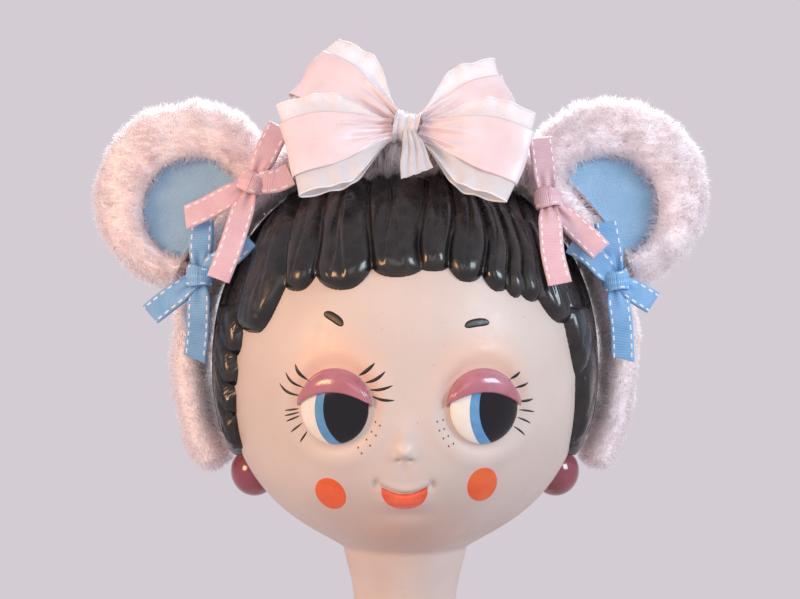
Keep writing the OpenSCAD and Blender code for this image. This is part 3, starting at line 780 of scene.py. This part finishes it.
def grow_fur(name, grid, normals, keep, count, length, droop, tints, seed):
    """Short tapered strands on a grid. keep(points) says where they grow, droop(points) where they hang."""
    rng = np.random.default_rng(seed)
    a, b = grid[:-1], grid[1:]
    q = np.stack([a, np.roll(a, -1, axis=1), np.roll(b, -1, axis=1), b], axis=2).reshape(-1, 4, 3)
    na, nb = normals[:-1], normals[1:]
    qn = np.stack([na, np.roll(na, -1, axis=1), np.roll(nb, -1, axis=1), nb], axis=2).reshape(-1, 4, 3)
    area = np.linalg.norm(np.cross(q[:, 2] - q[:, 0], q[:, 3] - q[:, 1]), axis=1)/2
    area = area*keep(q.mean(axis=1))*(1 + 5*droop(q.mean(axis=1)))
    pick = rng.choice(len(q), count, p=area/area.sum())
    u, v = rng.random((2, count, 1))
    def inside(c):
        return (c[pick, 0]*(1 - u) + c[pick, 1]*u)*(1 - v) + (c[pick, 3]*(1 - u) + c[pick, 2]*u)*v
    root, n = inside(q), unit(inside(qn))
    lean = np.stack([lumps(root, 13, seed + k) for k in (1, 2, 3)], axis=-1)
    lean += 0.8*np.stack([lumps(root, 4.2, seed + k) for k in (4, 5, 6)], axis=-1)
    hang = droop(root)[:, None]
    lean = lean*0.62 + rng.normal(size=(count, 3))*0.24 + np.array([0, 0, -0.2])
    lean = lean + hang*np.array([0, -1.0, -3.5])
    lean = lean - n*np.sum(lean*n, axis=1, keepdims=True)
    long = length*(0.78 + 0.22*lumps(root, 9, seed + 9) + rng.normal(size=count)*0.13)[:, None]
    long = np.clip(long, length*0.4, length*1.15)*(1 + 2.2*hang)
    tip = root + long*unit(n*0.62 + lean*0.9)
    mid = root + long*0.55*unit(n*0.85 + lean*0.6)
    root = root - n*0.6
    start, finish = unit(mid - root), unit(tip - mid)
    across = rng.normal(size=(count, 3))
    thick = rng.uniform(0.09, 0.15, (count, 1))*(1 + 0.6*hang)
    rings = []
    for at, along, r in ((root, start, 1.0), (mid, unit(start + finish), 0.85)):
        side1 = unit(np.cross(along, across))
        side2 = np.cross(along, side1)
        for k in range(3):
            ang = 2*math.pi*k/3
            rings.append(at + thick*r*(math.cos(ang)*side1 + math.sin(ang)*side2))
    points = np.stack(rings + [tip], axis=1).reshape(-1, 3)
    base = (np.arange(count)*7)[:, None]
    quads = np.concatenate([base + np.array([k, (k + 1) % 3, 3 + (k + 1) % 3, 3 + k]) for k in range(3)])
    tris = np.concatenate([base + np.array([3 + k, 3 + (k + 1) % 3, 6]) for k in range(3)])
    foot = base + np.array([2, 1, 0])
    tone = lumps(root, 16, seed + 20)*0.8 + rng.normal(size=count)*0.75
    shade = np.digitize(tone, [-0.75, 0.35])
    index = np.concatenate([np.tile(shade, 3), np.tile(shade, 3), shade])
    return mesh_piece(name, points, [quads, tris, foot], "headband", "pink_plush", tints, smooth=False,
                      index=index)


def build_plush():
    backing = new_material("plush_backing", (0.86, 0.68, 0.66), 0.95)
    at = place(backing)
    tint(backing, patchy(backing, at, 3, 5.0), (0.96, 0.83, 0.83), (0.99, 0.93, 0.93))
    bump(backing, noise(backing, at, 1.2, 4.0), 0.8)
    # fine strands let light through
    glow = {"Subsurface Weight": 1.0, "Subsurface Radius": (1.0, 0.9, 0.9), "Subsurface Scale": 3.0,
            "Sheen Weight": 0.6, "Sheen Roughness": 0.5}
    tints = [new_material("pile_rose", (0.84, 0.74, 0.75), 0.9, **glow),
             new_material("pile_pink", (0.88, 0.81, 0.82), 0.9, **glow),
             new_material("pile_cream", (0.92, 0.88, 0.895), 0.9, **glow)]
    grid = band_plush_grid()
    grid = grid + 0.5*lumps(grid, 12, 3)[..., None]*surface_normals(grid)
    normals, points, faces = facing_out(grid, grid.mean(axis=1, keepdims=True))
    band = mesh_piece("plush_band", points, faces, "headband", "pink_plush", backing,
                      ["band_sleeve", "band_padding"])
    def over_forehead(p):
        return ease((-30 - p[:, 1])/9)*ease((78 - np.abs(p[:, 0]))/22)
    parts = [("left", lambda p: p[:, 0] < -52), ("top", lambda p: np.abs(p[:, 0]) <= 52),
             ("right", lambda p: p[:, 0] > 52)]
    for k, (name, keep) in enumerate(parts):
        count = 25000 if name == "top" else 17000
        grow_fur(f"band_pile_{name}", grid, normals, keep, count, PILE, over_forehead, tints,
                 RNG_SEED + 50*k)
    for k, side in enumerate(EARS):
        sign, centre = EARS[side]
        grid = ear_plush_grid(side)
        normals, points, faces = facing_out(grid, np.array(centre))
        ear = mesh_piece(f"{side}_ear", points, faces, "headband", "pink_plush", backing,
                         [f"{side}_ear_plush", f"{side}_ear_filling"])
        felt_mid = np.array(centre) + [-sign*FELT_IN, 0, -FELT_DOWN]
        floor_y = centre[1] - (EAR_T/2 - FELT_DEPTH) - 0.2
        def keep(p, mid=felt_mid, floor=floor_y):
            over_felt = np.hypot(p[:, 0] - mid[0], p[:, 2] - mid[2]) < FELT_R + 0.2
            return ~(over_felt & (p[:, 1] < floor + 2.5))
        grow_fur(f"{side}_ear_pile", grid, normals, keep, 17000, PILE*1.2, lambda p: 0*p[:, 0], tints,
                 RNG_SEED + 400 + 50*k)


def build_felt():
    m = new_material("blue_felt", (0.26, 0.47, 0.68), 0.95, Sheen_Weight=0.4, Sheen_Roughness=0.5)
    at = place(m)
    cloud = patchy(m, at, 12)
    fibre = ramp(m, noise(m, at, 0.9, 5.0, (1, 1, 2.2)), 0.35, 0.7)
    base = blend_colors(m, cloud, (0.22, 0.42, 0.61), (0.30, 0.51, 0.70))
    tint(m, times(m, fibre, 0.45), base, (0.46, 0.64, 0.79))
    bump(m, noise(m, at, 0.8, 5.0), 0.25)
    rings, sides = 26, 128
    for side, (sign, centre) in EARS.items():
        a = np.linspace(0, 2*math.pi, sides, endpoint=False)
        rho = np.linspace(0.03, 1, rings)[:, None]
        wave = 0.25*np.sin(3*a + sign) + 0.2*np.sin(5*a)
        x = -sign*FELT_IN + (FELT_R + 0.3)*rho*np.cos(a)
        z = -FELT_DOWN + (FELT_R + 0.3)*rho*np.sin(a)
        front = -(EAR_T/2 - FELT_DEPTH) - 1.5 - 1.4*rho**3 + wave*rho**2
        top = np.stack([x, front, z], axis=-1)
        low = top + [0, 1.4, 0]
        whole = np.concatenate([top, low[::-1]]) + np.array(centre)
        points, faces = close_rings(beyond_arch(whole, 1.0), False)
        piece = mesh_piece(f"{side}_inner_ear", points, faces, "headband", "blue_felt", m,
                           [f"{side}_ear_felt"])


# ---------------------------------------------------------------- ribbons

class Ribbon:
    """A strip of ribbon along a path. at(s, v, lift) is a point s along it, v from -1 to 1 across it."""

    def __init__(self, path, across, half, ripple=None):
        self.path = np.asarray(path, float)
        step = np.linalg.norm(np.diff(self.path, axis=0), axis=1)
        self.s = np.concatenate([[0], np.cumsum(step)])
        self.length = self.s[-1]
        along = unit(np.gradient(self.path, axis=0))
        across = np.broadcast_to(np.asarray(across, float), self.path.shape)
        across = unit(across - along*np.sum(across*along, axis=1, keepdims=True))
        self.across, self.normal = across, np.cross(along, across)
        self.half = np.broadcast_to(np.asarray(half, float), self.s.shape)
        self.ripple = ripple or (lambda share, v: 0*share*v)

    def read(self, values, s):
        return np.stack([np.interp(s, self.s, values[:, k]) for k in range(3)], axis=-1)

    def at(self, s, v, lift=0.0):
        s, v = np.broadcast_arrays(np.asarray(s, float), np.asarray(v, float))
        high = self.ripple(s/self.length, v) + lift
        wide = np.interp(s, self.s, self.half)*v
        return (self.read(self.path, s) + self.read(self.across, s)*wide[..., None]
                + self.read(self.normal, s)*high[..., None])

    def solid(self, thick, rows, cols, cut=(0.0, 0.0), first=0.0, last=1.0, v_low=-1.0, v_high=1.0):
        """Points, faces and ribbon coordinates of a closed thin solid. cut slants each end."""
        t = np.linspace(0, 1, rows)[:, None]
        v = np.linspace(v_low, v_high, cols)[None, :]
        s = mixed(first*self.length + cut[0]*(v + 1), last*self.length - cut[1]*(v + 1), t)
        v = v + 0*s
        top, low = self.at(s, v, thick/2), self.at(s, v, -thick/2)
        rings = np.concatenate([top, low[:, ::-1]], axis=1)
        n = 2*cols
        k = np.arange(cols - 1)
        cap = np.stack([k, k + 1, n - 2 - k, n - 1 - k], axis=-1)
        far_cap = (cap + (rows - 1)*n)[:, ::-1]
        faces = np.concatenate([grid_faces(rows, n, wrap=True, flip=True), cap, far_cap])
        wide = np.interp(s, self.s, self.half)*v
        coords = np.stack([s, wide, 0*s], axis=-1)
        coords = np.concatenate([coords, coords[:, ::-1]], axis=1).reshape(-1, 3)
        return rings.reshape(-1, 3), faces, coords


def ribbon_piece(name, solids, slot, material, replaces=()):
    """Joins ribbon solids into one piece and keeps each point's place on the ribbon for its material."""
    points_faces = joined([(p, f) for p, f, _ in solids])
    piece = mesh_piece(name, *points_faces, "headband", slot, material, replaces)
    coords = np.concatenate([c for _, _, c in solids])
    layer = piece.data.attributes.new("ribbon_mm", "FLOAT_VECTOR", "POINT")
    layer.data.foreach_set("vector", coords.ravel())
    return piece


def on_ribbon(m):
    """Place on the ribbon in millimetres: along it, then across it."""
    return add_node(m, "ShaderNodeAttribute", attribute_name="ribbon_mm").outputs["Vector"]


BOW_AT, BOW_TILT = np.array([0.6, -53.5, 268.5]), math.radians(20)
SATIN_W, ORGANZA_W = 25.0, 42.0
BIG_LOOPS = [(147, 51.5, -1), (194, 51.5, 1), (18, 47.5, -1), (-18, 52.0, 1)]
LAYER_STEP, LOOP_HALF_DEPTH, LOOP_START = 4.1, 4.6, 5.0


def bow_to_row(p):
    """Turns points of the bow, drawn upright and facing -Y, to where it leans on the band."""
    c, s = math.cos(BOW_TILT), math.sin(BOW_TILT)
    turn = np.array([[1, 0, 0], [0, c, s], [0, -s, c]])
    return BOW_AT + p @ turn.T


def big_loop(angle, length, layer, width, inset, seed, ruffle=0.0):
    """One loop of the big bow: out along its front, round the fold, and back behind."""
    a = math.radians(angle)
    d, n = np.array([math.cos(a), 0, math.sin(a)]), np.array([0, 1.0, 0])
    across = np.cross(n, d)
    turn = np.linspace(0.0, 2*math.pi, 161)
    start, reach = LOOP_START + inset, length - inset
    r = mixed(start, reach, (1 - np.cos(turn))/2)
    share = (r - start)/(reach - start)
    depth = -(LOOP_HALF_DEPTH - inset)*np.sin(turn)*(0.35 + 0.9*share**0.7)
    lean = np.array([0, -LAYER_STEP*layer, 0])
    path = r[:, None]*d + depth[:, None]*n + lean*(0.35 + 0.65*ease(share*2))[:, None]
    spread = 0.72 if ruffle == 0 else 0.58
    half = mixed(4.6, width/2, ease(share/spread)**0.9)
    rng = np.random.default_rng(seed)
    phase = rng.uniform(0, 2*math.pi, 4)
    def ripple(t, v):
        out = (1 - np.cos(2*math.pi*t))/2
        near_knot = (1 - ease(out/0.75))
        folds = 1.1*np.cos(2.6*math.pi*v + phase[0])*near_knot
        folds = folds + 0.6*np.sin(5*math.pi*v + phase[1])*near_knot**2
        soft = 0.5*np.sin(1.2*math.pi*v + 6*out + phase[2])*ease(out*2)
        soft = soft + 0.25*np.sin(4.1*v + 9*out + phase[3])
        frill = np.abs(v)**4*np.sin(21*out + 2.4*np.sign(v) + phase[1])*ease(out*2)
        return folds + soft + ruffle*frill
    return Ribbon(bow_to_row(path), bow_to_row(across) - bow_to_row(np.zeros(3)), half, ripple)


def satin_material():
    m = new_material("pink_satin", (0.84, 0.64, 0.65), 0.30, Sheen_Weight=0.3, Sheen_Roughness=0.3,
                     Anisotropic=0.5, Specular_IOR_Level=0.6)
    at = on_ribbon(m)
    # painted sheen: lighter streaks along the satin stand in for the shine that runs along it
    painted_sheen_streaks = ramp(m, noise(m, at, 1.6, 4.0, (0.12, 6, 1)), 0.3, 0.7)
    broad = patchy(m, at, 16, 2.0, low=0.35, high=0.65)
    body = blend_colors(m, broad, (0.72, 0.58, 0.60), (0.79, 0.67, 0.70))
    tint(m, times(m, painted_sheen_streaks, 0.35), body, (0.90, 0.79, 0.80))
    bump(m, noise(m, at, 1.3, 3.0, (0.15, 5, 1)), 0.04)
    return m


def thread_wave(m, at, axis, pitch):
    """Threads side by side along one axis, from -1 to 1."""
    parts = add_node(m, "ShaderNodeSeparateXYZ", {0: at})
    angle = times(m, parts.outputs[axis], 2*math.pi/pitch)
    return add_node(m, "ShaderNodeMath", {0: angle}, operation="SINE").outputs[0]


def weave_height(m, at, pitch):
    """Fine crossing threads."""
    return add_node(m, "ShaderNodeMath", {0: thread_wave(m, at, 0, pitch), 1: thread_wave(m, at, 1, pitch)},
                    operation="ADD").outputs[0]


def organza_material(name, alpha):
    m = new_material(name, (0.95, 0.93, 0.95), 0.35, Alpha=alpha, Sheen_Weight=0.6, Sheen_Roughness=0.3)
    at = on_ribbon(m)
    thread = ramp(m, noise(m, at, 1.2, 3.0, (0.3, 4, 1)), 0.3, 0.7)
    tint(m, thread, (0.96, 0.94, 0.96), (1.0, 0.99, 1.0))
    bump(m, weave_height(m, at, 0.55), 0.03)
    return m


def build_big_bow():
    satin = satin_material()
    sheer, edge = organza_material("white_organza", 0.42), organza_material("organza_edge", 0.85)
    satin_solids, sheer_solids, edge_solids = [], [], []
    satin_length = organza_length = 0.0
    for k, (angle, length, layer) in enumerate(BIG_LOOPS):
        loop = big_loop(angle, length, layer, SATIN_W, 0.0, 11 + k)
        satin_solids.append(loop.solid(0.3, 150, 33))
        satin_length += loop.length
        loop = big_loop(angle, length, layer, ORGANZA_W, 1.2, 11 + k, ruffle=0.9)
        sheer_solids.append(loop.solid(0.18, 150, 45))
        organza_length += loop.length
        for v0, v1 in ((-1.01, -0.975), (0.975, 1.01)):
            edge_solids.append(loop.solid(0.3, 150, 4, v_low=v0, v_high=v1))
    bow = ribbon_piece("satin_ribbon", satin_solids, "pink_satin", satin, ["satin_bow"])
    sheer_bow = ribbon_piece("organza_ribbon", sheer_solids, "white_organza", sheer, ["organza_bow"])
    edges = ribbon_piece("organza_selvedge", edge_solids, "white_organza", edge)
    # the wrap round the middle, and its short tail
    a = np.linspace(0, 2*math.pi, 97)
    ring = np.stack([1.6*np.sin(a), -7.2*np.cos(a), 7.0*np.sin(a)], axis=-1)
    def folds(t, v):
        wave = 0.45*np.cos(2.6*math.pi*v + 2*np.sin(2*math.pi*t))
        return 1.5*(1 - v*v) + wave + 0.2*np.cos(7*math.pi*v + 1)
    wrap = Ribbon(bow_to_row(ring), (1.0, 0, -0.22), 4.9 + 0.4*np.cos(2*a), folds)
    tail_path = [[1.0, -6.5, -4], [2, -8.6, -9], [3.0, -10.0, -15], [3.4, -10.4, -21], [4.6, -9.6, -26.5]]
    tail = Ribbon(bow_to_row(smooth_path(tail_path, 60)), (1, 0.2, 0), np.linspace(2.6, 7.5, 60),
                  lambda t, v: 1.0*np.cos(3.3*math.pi*v + 3*t)*(1 - 0.3*t))
    knot = organza_material("organza_knot", 0.45)
    satin_core = Ribbon(bow_to_row(ring*[1, 0.9, 0.9]), (1.0, 0, -0.22), 4.8 + 0*a, folds)
    core = ribbon_piece("satin_knot", [satin_core.solid(0.4, 97, 25)], "pink_satin", satin)
    solids = [wrap.solid(0.4, 97, 31), tail.solid(0.25, 60, 15, cut=(0, 1.2))]
    wrap_piece = ribbon_piece("organza_wrap", solids, "white_organza", knot, ["bow_wrap"])
    length = wrap.length + tail.length


def smooth_path(points, count):
    """A smooth curve through a few points, Catmull-Rom."""
    p = np.asarray(points, float)
    p = np.concatenate([[2*p[0] - p[1]], p, [2*p[-1] - p[-2]]])
    t = np.linspace(0, len(p) - 3 - 1e-6, count)
    k = t.astype(int)
    u = (t - k)[:, None]
    a, b, c, d = p[k], p[k + 1], p[k + 2], p[k + 3]
    return 0.5*(2*b + (c - a)*u + (2*a - 5*b + 4*c - d)*u**2 + (3*b - a - 3*c + d)*u**3)


SMALL_W, KNOT_R = 10.0, 4.4
SMALL_BOWS = {
    "left_pink": ((-66, -38, 246), [(-54, -36, 271)], [(-49, -41, 250), (-96, -36, 231), (-79, -50, 205)]),
    "right_pink": ((61, -41, 239), [(58, -36, 266), (83, -45, 217)], [(64, -64, 203)]),
    "left_blue": ((-89, -30, 207), [(-88, -29, 231), (-111, -25, 190)], [(-67, -41.5, 223), (-92, -24, 169)]),
    "right_blue": ((91, -30, 205), [(87, -29, 230), (108, -25, 195)], [(71, -40, 221), (95, -24, 169)]),
}


def grosgrain_material(name, dark, light, pale):
    m = new_material(name, light, 0.42, Sheen_Weight=0.25, Sheen_Roughness=0.4)
    at = on_ribbon(m)
    rib = thread_wave(m, at, 0, 0.72)
    body = blend_colors(m, patchy(m, at, 9, low=0.35, high=0.65), dark, light)
    # painted highlight: the crests of the ribs are paler, as where light catches them
    tint(m, ramp(m, rib, -0.2, 1.0, 0.0, 0.42), body, pale)
    bump(m, rib, 0.06)
    return m


def ribbon_axes(direction):
    """Unit vectors along a small ribbon, out of its back and across it."""
    d = unit(direction)
    n = unit(np.array([0, 1.0, 0]) - d*d[1])
    return d, n, np.cross(n, d)


def small_loop(knot, tip, seed):
    d, n, across = ribbon_axes(tip - knot)
    length = np.linalg.norm(tip - knot)
    turn = np.linspace(0.12, 2*math.pi - 0.12, 121)
    r = mixed(1.6, length, (1 - np.cos(turn))/2)
    share = r/length
    depth = -2.9*np.sin(turn)*(0.5 + 0.6*share)
    path = knot + r[:, None]*d + depth[:, None]*n
    half = mixed(3.4, SMALL_W/2, ease(share/0.5))
    phase = seed*1.7
    def ripple(t, v):
        out = (1 - np.cos(2*math.pi*t))/2
        return 0.7*np.cos(2*math.pi*v + phase)*(1 - ease(out/0.5)) + 0.25*np.sin(3*out + phase)*v
    return Ribbon(path, across, half, ripple)


def small_tail(knot, end, seed):
    d, _, across = ribbon_axes(end - knot)
    length = np.linalg.norm(end - knot)
    bend = 1.3*math.cos(seed*2.1)
    puff = np.array([0, -1.8, 0])
    points = [knot + d*1.0, knot + d*length*0.3 + puff + across*bend*0.5,
              knot + d*length*0.65 + puff*0.5 + across*bend, end]
    path = smooth_path(points, 90)
    share = np.linspace(0, 1, 90)
    half = mixed(3.0, SMALL_W/2, ease(share/0.32))
    def ripple(t, v):
        return 0.8*np.cos(1.8*math.pi*v + seed)*(1 - ease(t/0.4)) + 0.35*np.sin(4*t + seed)*v
    return Ribbon(path, across, half, ripple)


def small_knot(knot, d, seed):
    """The wrap of a small bow, round its middle and across direction d."""
    d, n, up = ribbon_axes(d)
    a = np.linspace(0, 2*math.pi, 73)
    ring = knot + (KNOT_R - 0.6)*np.cos(a)[:, None]*-n + (KNOT_R + 0.5)*np.sin(a)[:, None]*up
    return Ribbon(ring, d, 4.4 + 0.5*np.cos(2*a + seed),
                  lambda t, v: 0.9*(1 - v*v) + 0.22*np.cos(3*math.pi*v + seed))


def stitches(ribbon, thick, first, last):
    """White running stitches along both edges, on both faces of a ribbon."""
    solids = []
    step, long = 4.0, 2.3
    start = first*ribbon.length + 1.0
    while start + long < last*ribbon.length - 0.5:
        for v in (-0.76, 0.76):
            for face in (-1, 1):
                s = np.linspace(start, start + long, 5)[:, None]
                w = v + np.array([-0.075, 0.0, 0.075])[None, :]
                bulge = np.array([0.3, 1, 1, 1, 0.3])[:, None]*np.array([0.02, 0.16, 0.02])
                lift = face*(thick/2 + bulge)
                top, low = ribbon.at(s, w, lift), ribbon.at(s, w, face*(thick/2 - 0.08) + 0*lift)
                if face < 0:
                    top, low = low, top
                rings = np.concatenate([top, low[:, ::-1]], axis=1)
                k = np.arange(2)
                cap = np.stack([k, k + 1, 4 - k, 5 - k], axis=-1)
                faces = np.concatenate([grid_faces(5, 6, wrap=True, flip=True), cap, (cap + 24)[:, ::-1]])
                solids.append((rings.reshape(-1, 3), faces))
        start += step
    return solids


def build_small_bows():
    pink = grosgrain_material("pink_grosgrain", (0.70, 0.41, 0.46), (0.77, 0.49, 0.54), (0.92, 0.78, 0.81))
    blue = grosgrain_material("blue_grosgrain", (0.14, 0.37, 0.68), (0.20, 0.47, 0.78), (0.52, 0.74, 0.92))
    thread = new_material("white_thread", (0.88, 0.87, 0.88), 0.6, Sheen_Weight=0.3)
    tint(thread, patchy(thread, place(thread), 0.5), (0.80, 0.79, 0.81), (0.95, 0.94, 0.95))
    thick = 0.45
    for number, (name, (knot, tips, ends)) in enumerate(SMALL_BOWS.items()):
        knot = np.array(knot, float)
        material, slot = (pink, "pink_grosgrain") if "pink" in name else (blue, "blue_grosgrain")
        solids, dashes, total = [], [], 0.0
        for k, tip in enumerate(tips):
            loop = small_loop(knot, np.array(tip, float), k + 2*number)
            solids.append(loop.solid(thick, 120, 11))
            dashes += stitches(loop, thick, 0.1, 0.9)
            total += loop.length
        for k, end in enumerate(ends):
            tail = small_tail(knot, np.array(end, float), k + 3*number)
            solids.append(tail.solid(thick, 90, 11, cut=(0, 1.6 if k % 2 else -1.2)))
            dashes += stitches(tail, thick, 0.18, 0.97)
            total += tail.length
        wrap = small_knot(knot, np.array(tips[0], float) - np.array(ends[-1], float), number)
        solids.append(wrap.solid(thick, 73, 13))
        dashes += stitches(wrap, thick, 0.0, 1.0)
        total += wrap.length
        bow = ribbon_piece(f"{name}_ribbon", solids, slot, material, [f"{name}_bow"])
        thread_piece = mesh_piece(f"{name}_stitching", *joined(dashes), "headband", slot, thread)


# ---------------------------------------------------------------- base

def arc(x, z, radius, first, last, count):
    """Points of an arc round x, z, between two angles in radians."""
    return [(x + radius*math.cos(a), z + radius*math.sin(a)) for a in np.linspace(first, last, count)]


def build_base():
    m = new_material("plinth_gloss", (0.62, 0.42, 0.44), 0.3, Coat_Weight=0.3, Coat_Roughness=0.2)
    at = place(m)
    tint(m, patchy(m, at, 22, low=0.35, high=0.65), (0.58, 0.38, 0.40), (0.66, 0.46, 0.48))
    connect(m, "Roughness", patchy(m, at, 6, 5.0, to=(0.24, 0.4)))
    bump(m, noise(m, at, 1.5, 3.0), 0.03)
    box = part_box("base_plinth")
    foot, radius, height = box[0][2]/MM, box[1][0]/MM, box[1][2]/MM
    collar, edge_z = 36.0, 10.0
    inner, ceiling, boss, bore = radius - 6, 9.6, 12.0, 4.05
    outline = [(bore, 14.5), (boss, 14.5), (boss, ceiling), (inner, ceiling), (inner, foot + 0.3),
               (inner + 0.3, foot), (radius - 1.2, foot)]
    outline += arc(radius - 1.2, foot + 1.2, 1.2, -1.37, 0, 7)
    outline += [(radius, edge_z - 1.5)]
    outline += arc(radius - 1.4, edge_z - 1.2, 1.4, 0.1, 1.5, 7)
    swoop = height - edge_z
    outline += arc(radius, height, swoop, -math.pi/2 - 0.14, -math.pi/2 - 1.36, 26)
    outline += [(radius - swoop - 5.4, height - 3), (collar + 6.6, height - 3), (collar + 0.9, height - 3)]
    outline += arc(collar - 0.8, height - 0.8, 0.8, -0.2, 1.5, 6)
    outline += [(20.5, height), (bore + 0.4, height), (bore, height - 0.4)]
    profile = np.array(outline)
    sides = 180
    a = np.linspace(0, 2*math.pi, sides, endpoint=False)
    grid = np.stack([profile[:, :1]*np.cos(a), profile[:, :1]*np.sin(a), profile[:, 1:] + 0*a], axis=-1)
    n = len(profile)
    faces = grid_faces(n + 1, sides, wrap=True) % (n*sides)
    plinth = mesh_piece("plinth", grid.reshape(-1, 3), faces, "base", "plinth_plastic", m, ["base_plinth"])
    plinth.data.set_sharp_from_angle(angle=math.radians(40))

    metal = new_material("zinc_plated", (0.60, 0.60, 0.60), 0.32, Metallic=1.0)
    connect(metal, "Roughness", patchy(metal, place(metal), 1.5, 5.0, to=(0.24, 0.45)))
    iron = new_material("bare_iron", (0.16, 0.155, 0.15), 0.55, Metallic=0.8)
    tint(iron, patchy(iron, place(iron), 4, 5.0, low=0.4, high=0.7), (0.14, 0.135, 0.13), (0.26, 0.19, 0.14))
    plastic = new_material("grey_plastic", (0.12, 0.11, 0.12), 0.5)
    bump(plastic, noise(plastic, place(plastic), 0.6, 2.0), 0.03)
    nylon = new_material("nylon", (0.80, 0.78, 0.73), 0.4, Subsurface_Weight=0.1)
    connect(nylon, "Roughness", patchy(nylon, place(nylon), 2.0, to=(0.32, 0.5)))
    felt = new_material("foot_felt", (0.14, 0.14, 0.17), 0.95, Sheen_Weight=0.3)
    at = place(felt)
    tint(felt, patchy(felt, at, 0.7, 5.0), (0.11, 0.11, 0.14), (0.20, 0.20, 0.24))
    bump(felt, noise(felt, at, 0.6, 5.0), 0.2)
    wood = new_material("turned_wood", (0.50, 0.32, 0.17), 0.6)
    at = place(wood)
    grain = noise(wood, at, 5, 4.0, (1, 1, 0.12))
    tint(wood, ramp(wood, grain, 0.3, 0.7), (0.42, 0.25, 0.12), (0.60, 0.42, 0.24))
    bump(wood, grain, 0.1)
    looks = {"base_weight": iron, "base_cover": plastic, "cover_screws": metal, "felt_pad": felt,
             "thrust_washer": nylon, "pivot_bolt": metal, "spring_washer": metal, "pivot_nut": metal,
             "neck_plug": wood, "band_core": nylon}
    for node, look in looks.items():
        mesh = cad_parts[node].data
        mesh.materials.clear()
        mesh.materials.append(look)


# ---------------------------------------------------------------- camera and light

def build_studio():
    scene = bpy.context.scene
    scene.view_settings.view_transform = "Standard"
    scene.cycles.diffuse_bounces = 8
    world = bpy.data.worlds.new("backdrop")
    world.use_nodes = True
    nodes, links = world.node_tree.nodes, world.node_tree.links
    nodes["Background"].inputs["Color"].default_value = (0.66, 0.60, 0.655, 1)
    # the backdrop the camera sees is brighter than the room that lights the toy
    strength = nodes.new("ShaderNodeMapRange")
    strength.inputs["To Min"].default_value = 0.92
    strength.inputs["To Max"].default_value = 1.0
    links.new(nodes.new("ShaderNodeLightPath").outputs["Is Camera Ray"], strength.inputs["Value"])
    links.new(strength.outputs[0], nodes["Background"].inputs["Strength"])
    scene.world = world
    camera = bpy.data.objects.new("camera", bpy.data.cameras.new("camera"))
    camera.data.lens = 80
    camera.data.sensor_width = 36
    camera.location = (-2.25*MM, -800*MM, 196.5*MM)
    camera.rotation_euler = (math.radians(90), 0, 0)
    scene.collection.objects.link(camera)
    scene.camera = camera
    lamps = [("warm_left", (-620, -520, 330), 260, 3.7, (1.0, 0.55, 0.26)),
             ("cool_right", (620, -480, 420), 300, 3.5, (0.77, 0.89, 1.0)),
             ("top_back", (60, 520, 700), 420, 7.5, (0.97, 0.97, 1.0)),
             ("front_fill", (0, -900, 420), 500, 0.8, (1.0, 0.97, 0.97))]
    target = np.array([0, 0, 180])
    for name, at, size, power, color in lamps:
        lamp = bpy.data.objects.new(name, bpy.data.lights.new(name, "AREA"))
        lamp.data.size = size*MM
        lamp.data.energy = power
        lamp.data.color = color
        lamp.location = tuple(c*MM for c in at)
        back = unit(np.array(at, float) - target)
        lamp.rotation_euler = (math.acos(back[2]), 0, math.atan2(back[1], back[0]) + math.pi/2)
        scene.collection.objects.link(lamp)


build_studio()
build_head()
build_eyes()
build_lids()
build_paint()
build_earrings()
build_hair()
build_plush()
build_felt()
build_big_bow()
build_small_bows()
build_base()
